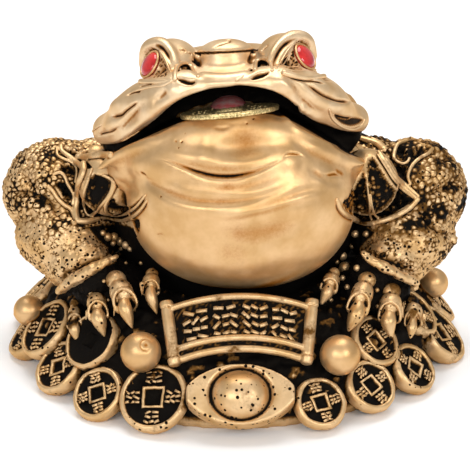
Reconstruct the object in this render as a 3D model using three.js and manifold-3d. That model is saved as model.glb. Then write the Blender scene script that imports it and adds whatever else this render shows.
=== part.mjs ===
// Three-legged money toad sitting on a heap of coins: one resin casting, two red
// eye stones set in sockets, and a loose brass coin held in the open mouth.
// Millimetres, +Z up, the toad faces -Y, and the origin is on the table under the
// middle of the coin heap.
import * as THREE from 'three';
import { mergeVertices } from 'three/addons/utils/BufferGeometryUtils.js';
import Module from 'manifold-3d';

const wasm = await Module();
wasm.setup();

// Driving sizes
const FIGURE_HEIGHT = 89; // table to the top of the brows
const HEAP_RADIUS = 57; // coin heap, at its foot
const HEAP_RIM = 5; // upright edge of the heap, under the sloping coins
const HEAP_SLOPE = THREE.MathUtils.degToRad(45);
const HEAP_TOP = 23; // level top of the heap, under the toad
const MOUND_INSET = 5; // the bare mound lies this far inside the ring of coins
const MOUND_SINK = 1; // and this far under their faces
const COIN_RIM = 1.1; // raised rim round each heap coin, width
const COIN_RELIEF = 0.8; // rim above the coin's sunk face
const COIN_DEPTH = 5.5; // heap coins are thick, with their backs sunk in the mound
const COIN_HOLE = 0.26; // half side of the square hole, as a share of the coin's radius
const PEARL_RADIUS = 5;
const SMALL_PEARL_RADIUS = 4;
const SCROLL_INSET = 16; // middle of the scroll, in from the foot of the heap
const SCROLL_LENGTH = 34; // between the middles of its rollers
const SCROLL_HEIGHT = 14; // the panel, up the slope
const SCROLL_ARCH = 4; // how far the middle of the panel bows out
const SCROLL_BOW = 1.9; // and how far it bows up the slope
const SCROLL_TAPER = 0.1; // narrower at the bottom than at the top, share of its length
const SCROLL_THICKNESS = 2.4;
const SCROLL_BORDER = 1.5;
const SCROLL_RELIEF = 0.9; // its borders above the panel
const SCROLL_SINK = 0.3; // the panel's rim below the faces of the coins
const ROLLER_LIFT = 0.4;
const ROLLER_RADIUS = 1.7;
const ROLLER_OVERHANG = 1.4; // roller past the panel, at each end
const INGOT_INSET = 4.5;
const INGOT_LENGTH = 25;
const INGOT_HEIGHT = 15.5;
const INGOT_DEPTH = 5;
const INGOT_DECK = 2.4; // its level top above the faces of the coins
const INGOT_EDGE = 1; // rounding along its edges
const INGOT_DOME_RADIUS = 6.6;
const INGOT_GROOVE = 1.2; // width and depth of the groove round the dome
const MOUTH_COIN_RADIUS = 12;
const MOUTH_COIN_THICKNESS = 1.2;
const MOUTH_COIN_HOLE = 5; // side of its square hole
const MOUTH_COIN_RIM = 1.4;
const MOUTH_COIN_RELIEF = 0.25; // its rim above its faces
const EYE_STONE_RADIUS = 3.2;
const EYE_STONE_DOME = 1.3; // crown of the stone above its girdle
const EYE_STONE_DEPTH = 1.5; // part of the stone below its girdle, in the socket
const SET_CLEARANCE = 0.35; // gap round a piece that is set into the casting
const CROWN_RADIUS = 6.6; // of the domed boss between the brows
const CROWN_WALL = 3; // from the foot of its dome down its front
const CROWN_DOME = 3.2;
const CROWN_TILT = THREE.MathUtils.degToRad(-18); // it leans back

const GOLD = 0xb48a4a;
const BRASS = 0xb9a24e;
const RUBY = 0xd2232a;

// The toad's pose is given in the millimetres of the original, whose brows stood at
// ORIGINAL_HEIGHT over a heap that was level at ORIGINAL_SEAT.
const ORIGINAL_HEIGHT = 89;
const ORIGINAL_SEAT = 23;
const unit = (FIGURE_HEIGHT - HEAP_TOP) / (ORIGINAL_HEIGHT - ORIGINAL_SEAT);
const bodyMiddle = 1.6 * unit; // pouch and feet stand a little right of the heap's middle
const headMiddle = -1.3 * unit; // and the head is turned a little to the left
const headRoll = THREE.MathUtils.degToRad(-3);
const MOUTH_LEAN = THREE.MathUtils.degToRad(16); // coin and mouth slope down inwards

// A point of the pose, brought to the figure's size and set on its heap.
function at(x, y, z) {
  return new THREE.Vector3(x * unit, y * unit, HEAP_TOP + (z - ORIGINAL_SEAT) * unit);
}

// Turns a closed geometry into a solid: shared vertices, no empty triangles.
function toSolid(geometry) {
  const bare = geometry.index ? geometry.toNonIndexed() : geometry.clone();
  for (const name of Object.keys(bare.attributes)) {
    if (name !== 'position') bare.deleteAttribute(name);
  }
  const merged = mergeVertices(bare, 1e-4);
  const corners = merged.index.array;
  const kept = [];
  for (let i = 0; i < corners.length; i += 3) {
    const [a, b, c] = corners.subarray(i, i + 3);
    if (a !== b && b !== c && c !== a) kept.push(a, b, c);
  }
  return new wasm.Manifold(new wasm.Mesh({
    numProp: 3,
    vertProperties: merged.attributes.position.array,
    triVerts: new Uint32Array(kept),
  }));
}

function fuse(geometries) {
  return wasm.Manifold.union(geometries.map(toSolid));
}

function toGeometry(solid) {
  const { numProp, numVert, vertProperties, triVerts } = solid.getMesh();
  const positions = new Float32Array(numVert * 3);
  for (let i = 0; i < numVert; i++) {
    positions.set(vertProperties.subarray(i * numProp, i * numProp + 3), i * 3);
  }
  const geometry = new THREE.BufferGeometry();
  geometry.setAttribute('position', new THREE.BufferAttribute(positions, 3));
  geometry.setIndex(new THREE.BufferAttribute(triVerts, 1));
  return geometry;
}

// Moves every vertex of a geometry through a function of its position.
function reshape(geometry, move) {
  const position = geometry.attributes.position;
  const point = new THREE.Vector3();
  for (let i = 0; i < position.count; i++) {
    point.fromBufferAttribute(position, i);
    move(point);
    position.setXYZ(i, point.x, point.y, point.z);
  }
  return geometry;
}

// An ellipsoid. A squareness above 2 swells it towards a box with round corners.
function ball(centre, radii, { turn = [0, 0, 0], squareness = 2, detail = 12 } = {}) {
  const swell = 2 / squareness;
  const geometry = new THREE.SphereGeometry(1, detail, Math.round(detail * 0.6));
  reshape(geometry, (p) => {
    for (const axis of ['x', 'y', 'z']) p[axis] = Math.sign(p[axis]) * Math.abs(p[axis]) ** swell;
  });
  const degrees = turn.map(THREE.MathUtils.degToRad);
  return geometry
    .rotateX(Math.PI / 2)
    .scale(radii[0] * unit, radii[1] * unit, radii[2] * unit)
    .applyMatrix4(new THREE.Matrix4().makeRotationFromEuler(new THREE.Euler(...degrees)))
    .translate(centre.x, centre.y, centre.z);
}

// A rounded limb along a smooth line through the points, with a radius at each point.
// Flatness widens it across the line and thins it along the up direction.
function limb(points, radii, { sides = 8, steps = 6, caps = 2, flatness = 1, up = [0, 0, 1] } = {}) {
  const line = new THREE.CatmullRomCurve3(points);
  const upward = new THREE.Vector3(...up);
  const radiusAt = (u) => {
    const place = u * (radii.length - 1);
    const i = Math.min(Math.floor(place), radii.length - 2);
    return THREE.MathUtils.lerp(radii[i], radii[i + 1], place - i) * unit;
  };
  const capsule = new THREE.CapsuleGeometry(1, 2, caps, sides, steps);
  return reshape(capsule, (p) => {
    const along = THREE.MathUtils.clamp(p.y, -1, 1);
    const past = p.y - along;
    const u = (along + 1) / 2;
    const forward = line.getTangent(u);
    const across = new THREE.Vector3().crossVectors(upward, forward).normalize();
    const above = new THREE.Vector3().crossVectors(forward, across);
    const radius = radiusAt(u);
    const { x, z } = p;
    p.copy(line.getPoint(u))
      .addScaledVector(forward, past * radius)
      .addScaledVector(across, z * radius * flatness)
      .addScaledVector(above, x * radius / flatness);
  });
}

// Both sides of a paired form. The middle is the x of the plane between the two.
function pair(middle, make) {
  return [-1, 1].flatMap((side) => (
    make((x, y, z) => at(0, y, z).setX(middle + x * side * unit))));
}

// Height of the heap's surface at a distance from its middle.
function heapHeight(radius) {
  const slope = HEAP_RIM + (HEAP_RADIUS - radius) * Math.tan(HEAP_SLOPE);
  return Math.min(slope, HEAP_TOP);
}

// Frame of a thing that lies on the heap's slope: its local z leaves the slope, its
// local y runs up the slope, and azimuth 0 is the front. The inset is how far in from
// the heap's foot it lies.
function onHeap(azimuth, inset, lift, spin = 0) {
  const turn = THREE.MathUtils.degToRad(azimuth);
  const radius = HEAP_RADIUS - inset;
  const rise = HEAP_RIM + inset * Math.tan(HEAP_SLOPE);
  return new THREE.Matrix4()
    .makeTranslation(Math.sin(turn) * radius, -Math.cos(turn) * radius, rise)
    .multiply(new THREE.Matrix4().makeRotationZ(turn))
    .multiply(new THREE.Matrix4().makeRotationX(HEAP_SLOPE))
    .multiply(new THREE.Matrix4().makeTranslation(0, 0, lift))
    .multiply(new THREE.Matrix4().makeRotationZ(THREE.MathUtils.degToRad(spin)));
}

// A solid of revolution about z, from a profile of [radius, height] that starts and
// ends on the axis and runs counter-clockwise.
function turned(profile, segments) {
  const points = profile.map(([radius, height]) => new THREE.Vector2(radius, height));
  return new THREE.LatheGeometry(points, segments).rotateX(Math.PI / 2);
}

function disc(radius, low, high, segments) {
  return turned([[0, low], [radius, low], [radius, high], [0, high]], segments);
}

// A cast coin with a raised rim. It stands COIN_DEPTH deep, with its face outwards.
function coinBlank(radius) {
  const face = -COIN_RELIEF;
  return turned([
    [0, -COIN_DEPTH],
    [radius, -COIN_DEPTH],
    [radius, 0],
    [radius - COIN_RIM, 0],
    [radius - COIN_RIM * 1.2, face],
    [0, face],
  ], 10);
}

function squareHole(radius) {
  const side = 2 * COIN_HOLE * radius;
  return new THREE.BoxGeometry(side, side, COIN_RELIEF * 2).translate(0, 0, -COIN_RELIEF);
}

// Heap coins: [azimuth in degrees, inset from the heap's foot, radius, lift, spin]
const FRONT_COINS = [
  [-78, 1.6, 6.8, 0, 20],
  [-55, 1.6, 6.6, 0, 40],
  [-37.6, 1.2, 6.8, 0.4, 35],
  [-21.6, 2.8, 8.2, 1, 20],
  [22.4, 2, 6.5, 0.6, 5],
  [38.4, 1.8, 6.6, 0.3, 15],
  [55.3, 1.8, 6.6, 0.3, 30],
  [77.6, 2, 8.4, 0.3, 60],
  [-69, 6, 7.6, 1.6, 30],
  [-46.2, 9.1, 7.2, 1, 0],
  [47.4, 9.6, 6.4, 1, 10],
  [73, 8.4, 7, 1.2, 40],
];
const BACK_COINS = 8; // in each ring, round the hidden side
const BACK_COIN_RADIUS = 8.4;
const BACK_COIN_INSET = 3.6;
const BACK_START = 98; // azimuth of the first coin of the back rings

function backCoins() {
  const step = (360 - 2 * BACK_START) / (BACK_COINS - 1);
  const coins = [];
  for (let i = 0; i < BACK_COINS; i++) {
    const azimuth = BACK_START + step * i;
    coins.push([azimuth, BACK_COIN_INSET, BACK_COIN_RADIUS, (i % 2) * 0.8, 17 * i]);
  }
  return coins;
}

function heapCoins() {
  const blanks = [];
  const holes = [];
  for (const [azimuth, inset, size, lift, spin] of [...FRONT_COINS, ...backCoins()]) {
    const place = onHeap(azimuth, inset, lift, spin);
    blanks.push(coinBlank(size).applyMatrix4(place));
    if (Math.abs(azimuth) < BACK_START) holes.push(squareHole(size).applyMatrix4(place));
  }
  return { blanks, holes };
}

// The bare mound under the coins.
function mound() {
  const foot = HEAP_RADIUS - MOUND_INSET;
  const shoulder = HEAP_RADIUS - (HEAP_TOP - HEAP_RIM) / Math.tan(HEAP_SLOPE);
  return turned([
    [0, 0],
    [foot, 0],
    [foot, heapHeight(foot) - MOUND_SINK],
    [shoulder, HEAP_TOP - MOUND_SINK],
    [0, HEAP_TOP],
  ], 20);
}

// Pearls: [azimuth, inset, radius]
const PEARLS = [
  [-27.6, 9.8, PEARL_RADIUS],
  [30.5, 8.8, PEARL_RADIUS],
  [-80, 4.8, SMALL_PEARL_RADIUS],
  [94, 6.6, SMALL_PEARL_RADIUS],
];

function pearls() {
  return PEARLS.map(([azimuth, inset, size]) => new THREE.SphereGeometry(size, 10, 6)
    .applyMatrix4(onHeap(azimuth, inset, size * 0.7)));
}

// Arched panel between two rollers, lying on the slope above the ingot.
function scroll() {
  const place = onHeap(1.7, SCROLL_INSET, -SCROLL_SINK);
  const bow = (p) => {
    p.x *= 1 + SCROLL_TAPER * p.y / SCROLL_HEIGHT;
    p.y += SCROLL_BOW * (1 - (p.x / half) ** 2);
  };
  const half = SCROLL_LENGTH / 2;
  const bend = (half * half + SCROLL_ARCH * SCROLL_ARCH) / (2 * SCROLL_ARCH);
  const sweep = Math.asin(half / bend);
  const section = (thickness) => {
    const shape = new THREE.Shape();
    const low = -SCROLL_THICKNESS;
    shape.absarc(0, SCROLL_ARCH - bend, bend + thickness, Math.PI / 2 + sweep, Math.PI / 2 - sweep, true);
    shape.lineTo(half, low);
    shape.lineTo(-half, low);
    shape.closePath();
    return shape;
  };
  const slab = (height, thickness, offset) => {
    const block = new THREE.ExtrudeGeometry(section(thickness), {
      depth: height,
      bevelEnabled: false,
      curveSegments: 3,
    });
    block.translate(0, 0, offset - height / 2).rotateX(Math.PI / 2);
    return reshape(block, bow).applyMatrix4(place);
  };
  const edge = (SCROLL_HEIGHT - SCROLL_BORDER) / 2;
  const lean = Math.atan(SCROLL_TAPER * half / SCROLL_HEIGHT);
  const rollers = [-1, 1].map((side) => {
    const length = SCROLL_HEIGHT + 2 * ROLLER_OVERHANG;
    return disc(ROLLER_RADIUS, -length / 2, length / 2, 8)
      .rotateX(-Math.PI / 2)
      .rotateZ(-side * lean)
      .translate(side * half, 0, ROLLER_LIFT)
      .applyMatrix4(place);
  });
  return [
    slab(SCROLL_HEIGHT, 0, 0),
    slab(SCROLL_BORDER, SCROLL_RELIEF, edge),
    slab(SCROLL_BORDER, SCROLL_RELIEF, -edge),
    ...rollers,
  ];
}

// Boat-shaped ingot with a domed middle, tipped against the foot of the slope.
function ingot() {
  const place = onHeap(1.4, INGOT_INSET, 0);
  const half = INGOT_LENGTH / 2;
  const side = INGOT_HEIGHT / 2;
  const bend = (half * half + side * side) / (2 * side);
  const sweep = Math.asin(half / bend);
  const outline = new THREE.Shape();
  outline.absarc(0, side - bend, bend, Math.PI / 2 + sweep, Math.PI / 2 - sweep, true);
  outline.absarc(0, bend - side, bend, -Math.PI / 2 + sweep, -Math.PI / 2 - sweep, true);
  const boat = new THREE.ExtrudeGeometry(outline, {
    depth: INGOT_DEPTH - 2 * INGOT_EDGE,
    bevelThickness: INGOT_EDGE,
    bevelSize: INGOT_EDGE,
    bevelOffset: -INGOT_EDGE,
    bevelSegments: 1,
    curveSegments: 4,
  }).translate(0, 0, INGOT_DECK + INGOT_EDGE - INGOT_DEPTH).applyMatrix4(place);
  const floor = INGOT_DECK - INGOT_GROOVE;
  const inner = INGOT_DOME_RADIUS - 0.2;
  const outer = inner + INGOT_GROOVE;
  const groove = turned([
    [inner, INGOT_DECK + INGOT_EDGE],
    [inner, floor],
    [outer, floor],
    [outer, INGOT_DECK + INGOT_EDGE],
    [inner, INGOT_DECK + INGOT_EDGE],
  ], 12).applyMatrix4(place);
  const dome = new THREE.SphereGeometry(INGOT_DOME_RADIUS, 12, 6)
    .scale(1.03, 0.88, 0.75)
    .applyMatrix4(place.clone().multiply(new THREE.Matrix4().makeTranslation(0, 0, floor)));
  return { boat, groove, dome };
}

// Head parts are sculpted upright about x = 0, then shifted and rolled together.
const rollHeight = at(0, 0, 72).z;
const headPose = new THREE.Matrix4()
  .makeTranslation(headMiddle, 0, rollHeight)
  .multiply(new THREE.Matrix4().makeRotationY(headRoll))
  .multiply(new THREE.Matrix4().makeTranslation(0, 0, -rollHeight));

// Lip edges from the right corner of the mouth to the left one, [x, y, z]. The right
// corner is nearly shut.
const UPPER_LIP = [
  [-35, -12, 60.2], [-29, -18.5, 62.8], [-22, -25, 68.7], [-13.5, -30, 77.2], [-8, -32, 80.4],
  [0, -33, 82.4], [8, -32, 81], [13.5, -30, 77.8], [22, -25, 68.8], [29, -18.5, 62.7], [35, -12, 60.1],
];
const LOWER_LIP = [
  [-35.5, -14, 59], [-30, -18.5, 61], [-23, -26, 66.4], [-13.5, -31.5, 72.2], [-8, -33.5, 74.3],
  [0, -35, 74.7], [8, -33.5, 75.2], [13.5, -31.5, 72.7], [23, -26, 64.2], [30, -18.5, 56.6], [35.5, -14, 54],
];

// A jaw line from its left end to its right one, from its right half.
function acrossHead(half) {
  const right = half.map((point) => at(...point));
  const left = right.slice(1).reverse().map((p) => p.clone().setX(-p.x));
  return [...left, ...right];
}

// The open mouth: everything between the two lips, cut inwards and slightly down.
function mouthGap() {
  const inside = -9 * unit;
  const outside = -50 * unit;
  const lean = Math.tan(MOUTH_LEAN);
  const edge = (lip) => {
    const line = lip.map((point) => at(...point))
      .map((p) => new THREE.Vector2(p.x, p.z + (p.y - inside) * lean));
    const [right, left] = [[-37, line[0]], [37, line.at(-1)]]
      .map(([x, corner]) => new THREE.Vector2(x * unit, corner.y - 1.5 * unit));
    return [right, ...new THREE.SplineCurve(line).getPoints(12), left];
  };
  const band = new THREE.Shape([...edge(UPPER_LIP), ...edge(LOWER_LIP).reverse()]);
  const gap = new THREE.ExtrudeGeometry(band, { depth: inside - outside, bevelEnabled: false });
  reshape(gap, (p) => p.set(p.x, inside - p.z, p.y + p.z * lean));
  return gap.applyMatrix4(headPose);
}

const mouthCoinPlace = new THREE.Matrix4()
  .makeTranslation(...at(0, -25, 72.9).setX(headMiddle))
  .multiply(new THREE.Matrix4().makeRotationY(THREE.MathUtils.degToRad(-6)))
  .multiply(new THREE.Matrix4().makeRotationX(-MOUTH_LEAN));

function mouthCoin() {
  const half = MOUTH_COIN_THICKNESS / 2;
  const rim = MOUTH_COIN_RADIUS - MOUTH_COIN_RIM;
  const face = half - MOUTH_COIN_RELIEF;
  const blank = turned([
    [0, -face],
    [rim, -face],
    [rim + MOUTH_COIN_RELIEF, -half],
    [MOUTH_COIN_RADIUS, -half],
    [MOUTH_COIN_RADIUS, half],
    [rim + MOUTH_COIN_RELIEF, half],
    [rim, face],
    [0, face],
  ], 28);
  const hole = new THREE.BoxGeometry(MOUTH_COIN_HOLE, MOUTH_COIN_HOLE, MOUTH_COIN_THICKNESS * 2);
  return toGeometry(toSolid(blank).subtract(toSolid(hole)));
}

// Frame of an eye stone, with its local z leaving the head.
function eyePlace(side) {
  const facing = new THREE.Vector3(side * 0.75, -0.3, 0.58).normalize();
  const turn = new THREE.Quaternion().setFromUnitVectors(new THREE.Vector3(0, 0, 1), facing);
  return headPose.clone()
    .multiply(new THREE.Matrix4().makeTranslation(...at(19 * side, -15.3, 82.5)))
    .multiply(new THREE.Matrix4().makeRotationFromQuaternion(turn));
}

function eyeStone() {
  const arc = [0, 0.3, 0.6, 0.85, 1].map((share) => [
    EYE_STONE_RADIUS * Math.cos(share * Math.PI / 2),
    EYE_STONE_DOME * Math.sin(share * Math.PI / 2),
  ]);
  return turned([
    [0, -EYE_STONE_DEPTH],
    [EYE_STONE_RADIUS, -EYE_STONE_DEPTH],
    ...arc.slice(0, -1),
    [0, EYE_STONE_DOME],
  ], 12);
}

function eyeSocket(side) {
  return disc(EYE_STONE_RADIUS + SET_CLEARANCE, -EYE_STONE_DEPTH - SET_CLEARANCE, 6, 12)
    .applyMatrix4(eyePlace(side));
}

function head() {
  const brow = pair(0, (p) => [
    ball(p(14, -9.5, 79.5), [7.4, 9, 6.8]),
    limb([p(10, -22.6, 81.3), p(12, -19, 84.5), p(15.6, -13, 86.4), p(19.4, -10.4, 85), p(20.4, -8.4, 80)],
      [1.3, 2, 2, 1.9, 1.4], { sides: 6, steps: 4, caps: 1 }),
    ball(p(16.5, -14.3, 80.7), [4.8, 4.8, 4.8], { detail: 8 }),
    limb([p(5.4, -28, 81.4), p(8.4, -27.6, 82.2)], [1.7, 1.8], { sides: 6, steps: 1, caps: 1 }),
  ]);
  const upperJaw = limb(acrossHead(
    [[0, -28.5, 80.6], [11.5, -25, 79], [19.6, -20, 74], [26.4, -15, 68], [30.6, -9, 63.6]]),
  [4.6, 5.6, 6, 5, 3.4, 5, 6, 5.6, 4.6], { sides: 7, steps: 12, caps: 1 });
  const lowerJaw = limb(acrossHead(
    [[0, -29, 67.8], [12.5, -26.4, 65.6], [21.5, -21.4, 60], [27.5, -15.6, 54.4], [31.5, -11, 51.8]]),
  [3.2, 4.6, 5.6, 6.2, 6.6, 6.2, 5.6, 4.6, 3.2], { sides: 7, steps: 12, caps: 1 });
  const skull = ball(at(0, -9, 72.6), [22.6, 20.5, 9.2], { squareness: 2.3, detail: 16 });
  const jowls = ball(at(0, -3, 60), [33, 20, 12.5], { squareness: 2.3, detail: 16 });
  const crown = turned([
    [0, -CROWN_WALL],
    [CROWN_RADIUS, -CROWN_WALL],
    [CROWN_RADIUS, 0],
    [CROWN_RADIUS * 0.7, CROWN_DOME * 0.7],
    [0, CROWN_DOME],
  ], 14)
    .rotateX(CROWN_TILT)
    .translate(...at(-0.4, -9, 82.6));
  return [...brow, upperJaw, lowerJaw, skull, jowls, crown].map((g) => g.applyMatrix4(headPose));
}

function tongue() {
  return ball(at(-0.4, -15.6, 72.2), [4.4, 11.4, 3.6], { detail: 8 }).applyMatrix4(headPose);
}

function trunk() {
  const chin = ball(at(0, -17, 60.5), [28.5, 22, 13.5], { detail: 16 });
  const pouch = ball(at(0, -17.5, 48.6), [28.5, 24.5, 22.5], { squareness: 2.2, detail: 18 });
  return [
    chin.translate(headMiddle / 2, 0, 0),
    pouch.translate(bodyMiddle, 0, 0),
    ball(at(0, 8, 39), [34, 38, 34.5], { detail: 14 }),
    ball(at(0, 28, 31), [30, 24, 21], { detail: 10 }),
  ];
}

function arms() {
  return pair(0, (p) => [
    ball(p(45.6, 3, 39.6), [14, 14, 13.8]),
    limb([p(28, 10, 41), p(40, 6, 41.5)], [12, 10.5], { steps: 2, caps: 1 }),
    ball(p(42.8, -3, 31.4), [13.8, 15.5, 10.6]),
    limb([p(43, -8, 29), p(39, -15, 27.5), p(34.5, -20.5, 26.5)], [9, 8, 6], { steps: 3, caps: 1 }),
  ]);
}

// Toes from the outer to the inner one: joints [x, y, z, radius], the last of them
// the point of the claw.
const TOES = [
  [[39.5, -16, 24.5, 2.4], [41.1, -22.5, 21.7, 2.6],
    [41.8, -25, 20, 2.1], [42, -27, 17, 2.4], [42, -29, 11.8, 0.4]],
  [[35.5, -18, 28, 2.6], [36.7, -25, 25.6, 2.8],
    [36.3, -28.5, 22.4, 2.2], [35.8, -31, 19, 2.6], [35.4, -33.5, 14, 0.4]],
  [[30.6, -20, 30, 2.6], [31.2, -26.5, 29.2, 2.8],
    [29.4, -30.6, 26.4, 2.3], [28.2, -33.4, 22.6, 2.7], [26.6, -35.4, 17.6, 0.4]],
  [[26, -20, 29, 2.2], [23.6, -25, 28.6, 2.3],
    [22.6, -27.4, 27.2, 1.9], [21.8, -29.4, 25.4, 2], [20.6, -32.4, 21.6, 0.4]],
];

function toe(joints, place) {
  const spots = joints.map(([x, y, z]) => place(x, y, z));
  return limb(spots, joints.map((joint) => joint[3]), { sides: 5, steps: 8, caps: 1 });
}

function forefeet() {
  return pair(bodyMiddle, (p) => [
    ball(p(33, -20, 25), [11, 9, 5], { turn: [20, 0, 0], detail: 8 }),
    limb([p(44.6, -19.5, 23.6), p(38, -23, 28), p(30.6, -23.6, 33)], [2.2, 2.6, 2],
      { sides: 6, steps: 4, caps: 1 }),
    ...TOES.map((joints) => toe(joints, p)),
  ]);
}

// Folded ridges of skin behind each corner of the mouth: [points, radii].
const FRILL = [
  [[[33, -11, 57.5], [38, -7, 56], [43, -3, 54]], [1.6, 2.4, 1.8]],
  [[[39, -15, 40.5], [33, -22, 42], [27.5, -25, 45.5], [24, -25, 51]], [1.9, 1.7, 1.5, 0.9]],
  [[[38.6, -15.5, 41], [38.8, -13.5, 47], [37, -10, 54.5]], [2, 1.6, 1.4]],
  [[[40, -13, 43], [44.5, -9.5, 46], [49, -4.5, 48]], [1.8, 1.3, 0.9]],
  [[[39.5, -11, 47.5], [44, -7, 50], [47.5, -2, 54.5]], [1.8, 1.4, 0.9]],
];

function frills() {
  return pair(bodyMiddle / 2, (p) => [
    ball(p(32.5, -11, 48.5), [8, 8.5, 8.5], { detail: 8 }),
    ...FRILL.map(([points, radii]) => (
      limb(points.map((q) => p(...q)), radii, { sides: 4, steps: 4, caps: 1 }))),
  ]);
}

// The single hind leg, folded under the rump, with its toes on the back of the heap.
function hindLeg() {
  const toes = [-24, -8, 8, 24].map((angle) => {
    const spread = THREE.MathUtils.degToRad(angle);
    const reach = (distance, above) => {
      const spot = at(distance * Math.sin(spread), 36 + distance * Math.cos(spread), 0);
      return spot.setZ(heapHeight(Math.hypot(spot.x, spot.y)) + above * unit);
    };
    const joints = [reach(4, 5), reach(12, 4), reach(18.5, 1)];
    return limb(joints, [2.6, 2.4, 0.5], { sides: 5, steps: 3, caps: 1 });
  });
  return [
    limb([at(0, 34, 44), at(0, 46, 36), at(0, 44, 26)], [12, 10, 7], { sides: 10, steps: 5, flatness: 1.25 }),
    ball(at(0, 41, 25), [9, 7, 5], { detail: 8 }),
    ...toes,
  ];
}

function casting() {
  const { blanks, holes } = heapCoins();
  const { boat, groove, dome } = ingot();
  const heap = fuse([mound(), ...blanks, boat])
    .subtract(fuse([...holes, groove]))
    .add(fuse([dome, ...pearls(), ...scroll()]));
  const front = fuse([...head(), ...trunk()])
    .subtract(toSolid(mouthGap()))
    .add(toSolid(tongue()));
  const toad = front.add(fuse([...arms(), ...frills(), ...forefeet(), ...hindLeg()]));
  const coinSlot = disc(MOUTH_COIN_RADIUS + SET_CLEARANCE,
    -MOUTH_COIN_THICKNESS / 2 - SET_CLEARANCE, MOUTH_COIN_THICKNESS / 2 + SET_CLEARANCE, 24)
    .applyMatrix4(mouthCoinPlace);
  const sockets = [-1, 1].map(eyeSocket);
  const table = new THREE.BoxGeometry(4 * HEAP_RADIUS, 4 * HEAP_RADIUS, HEAP_RADIUS)
    .translate(0, 0, -HEAP_RADIUS / 2);
  const whole = heap.add(toad).subtract(fuse([coinSlot, ...sockets, table]));
  return toGeometry(whole);
}

function piece(name, geometry, color, roughness, metalness) {
  const mesh = new THREE.Mesh(geometry, new THREE.MeshStandardMaterial({ color, roughness, metalness }));
  mesh.name = name;
  return mesh;
}

const group = new THREE.Group();
group.add(piece('toad_figure', casting(), GOLD, 0.4, 0.6));

const coin = piece('mouth_coin', mouthCoin(), BRASS, 0.35, 0.9);
coin.applyMatrix4(mouthCoinPlace);
group.add(coin);

for (const [name, side] of [['eye_stone_right', -1], ['eye_stone_left', 1]]) {
  const stone = piece(name, eyeStone(), RUBY, 0.15, 0);
  stone.applyMatrix4(eyePlace(side));
  group.add(stone);
}

export default group;
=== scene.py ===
import math

import bmesh
import bpy
import numpy as np
from mathutils import Euler, Matrix, Vector, noise
from mathutils.bvhtree import BVHTree


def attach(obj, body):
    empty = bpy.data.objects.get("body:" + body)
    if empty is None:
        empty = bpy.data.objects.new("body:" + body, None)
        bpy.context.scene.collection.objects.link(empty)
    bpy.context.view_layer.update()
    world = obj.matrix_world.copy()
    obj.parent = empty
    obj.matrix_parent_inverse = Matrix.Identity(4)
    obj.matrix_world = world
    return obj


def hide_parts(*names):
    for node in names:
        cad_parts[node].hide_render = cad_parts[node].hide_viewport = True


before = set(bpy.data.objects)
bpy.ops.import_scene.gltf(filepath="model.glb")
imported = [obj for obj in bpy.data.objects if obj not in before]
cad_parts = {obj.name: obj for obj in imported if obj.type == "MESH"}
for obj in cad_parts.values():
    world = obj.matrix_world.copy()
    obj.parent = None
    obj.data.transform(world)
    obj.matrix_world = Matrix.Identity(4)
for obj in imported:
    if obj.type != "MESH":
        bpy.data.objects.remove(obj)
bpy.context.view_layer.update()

# Money toad on its heap of coins. Everything is shaped in millimetres and brought to
# metres when a piece is placed. The toad faces -Y.
METRE = 0.001

# The photo's camera
PHOTO_SIDE = 470  # pixels
FOCAL = 2310  # pixels
SENSOR = 36
CAMERA_TILT = math.radians(24)
CAMERA_DISTANCE = 600
AIM = Vector((0, 0, 29))
FORWARD = Vector((0, math.cos(CAMERA_TILT), -math.sin(CAMERA_TILT)))
RIGHTWARD = Vector((1, 0, 0))
UPWARD = RIGHTWARD.cross(FORWARD)
UP = Vector((0, 0, 1))
EYE = AIM - FORWARD * CAMERA_DISTANCE

# Sizes that the solids have too
HEAP_RADIUS = 57
HEAP_RIM = 5
HEAP_SLOPE = math.radians(45)
HEAP_TOP = 23
MOUND_INSET = 5
COIN_RIM = 1.1
COIN_RELIEF = 0.8
COIN_DEPTH = 5.5
COIN_HOLE = 0.26
PEARL_RADIUS = 5
SMALL_PEARL_RADIUS = 4
SCROLL_INSET = 16
SCROLL_LENGTH = 34
SCROLL_HEIGHT = 14
SCROLL_ARCH = 4
SCROLL_BOW = 1.9
SCROLL_TAPER = 0.1
SCROLL_THICKNESS = 2.4
SCROLL_SINK = 0.3
ROLLER_RADIUS = 1.7
ROLLER_OVERHANG = 1.4
INGOT_INSET = 4.5
INGOT_LENGTH = 25
INGOT_HEIGHT = 15.5
INGOT_DECK = 2.4
INGOT_DOME_RADIUS = 6.6
MOUTH_COIN_RADIUS = 12
MOUTH_COIN_THICKNESS = 1.2
MOUTH_COIN_HOLE = 5
MOUTH_COIN_RIM = 1.4
EYE_STONE_RADIUS = 3.2
EYE_STONE_DOME = 1.3
EYE_STONE_DEPTH = 1.5

BODY_MIDDLE = 1.6
HEAD_MIDDLE = -1.3
HEAD_ROLL = math.radians(-3)
ROLL_HEIGHT = 72
MOUTH_LEAN = math.radians(16)
HEAD_POSE = (
    Matrix.Translation((HEAD_MIDDLE, 0, ROLL_HEIGHT))
    @ Matrix.Rotation(HEAD_ROLL, 4, "Y")
    @ Matrix.Translation((0, 0, -ROLL_HEIGHT))
)


# Photo and space

def sight(px, py):
    """Direction from the camera through a pixel of the photo."""
    half = PHOTO_SIDE / 2
    across = RIGHTWARD * ((px - half) / FOCAL)
    return (FORWARD + across + UPWARD * ((half - py) / FOCAL)).normalized()


def at_depth(px, py, y):
    """The point that a pixel of the photo shows at a given depth."""
    ray = sight(px, py)
    return EYE + ray * ((y - EYE.y) / ray.y)


def in_photo(points):
    """Photo pixels of an array of points."""
    away = points - np.array(EYE)
    depth = away @ np.array(FORWARD)
    half = PHOTO_SIDE / 2
    across = half + FOCAL * (away @ np.array(RIGHTWARD)) / depth
    down = half - FOCAL * (away @ np.array(UPWARD)) / depth
    return np.column_stack([across, down])


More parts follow.
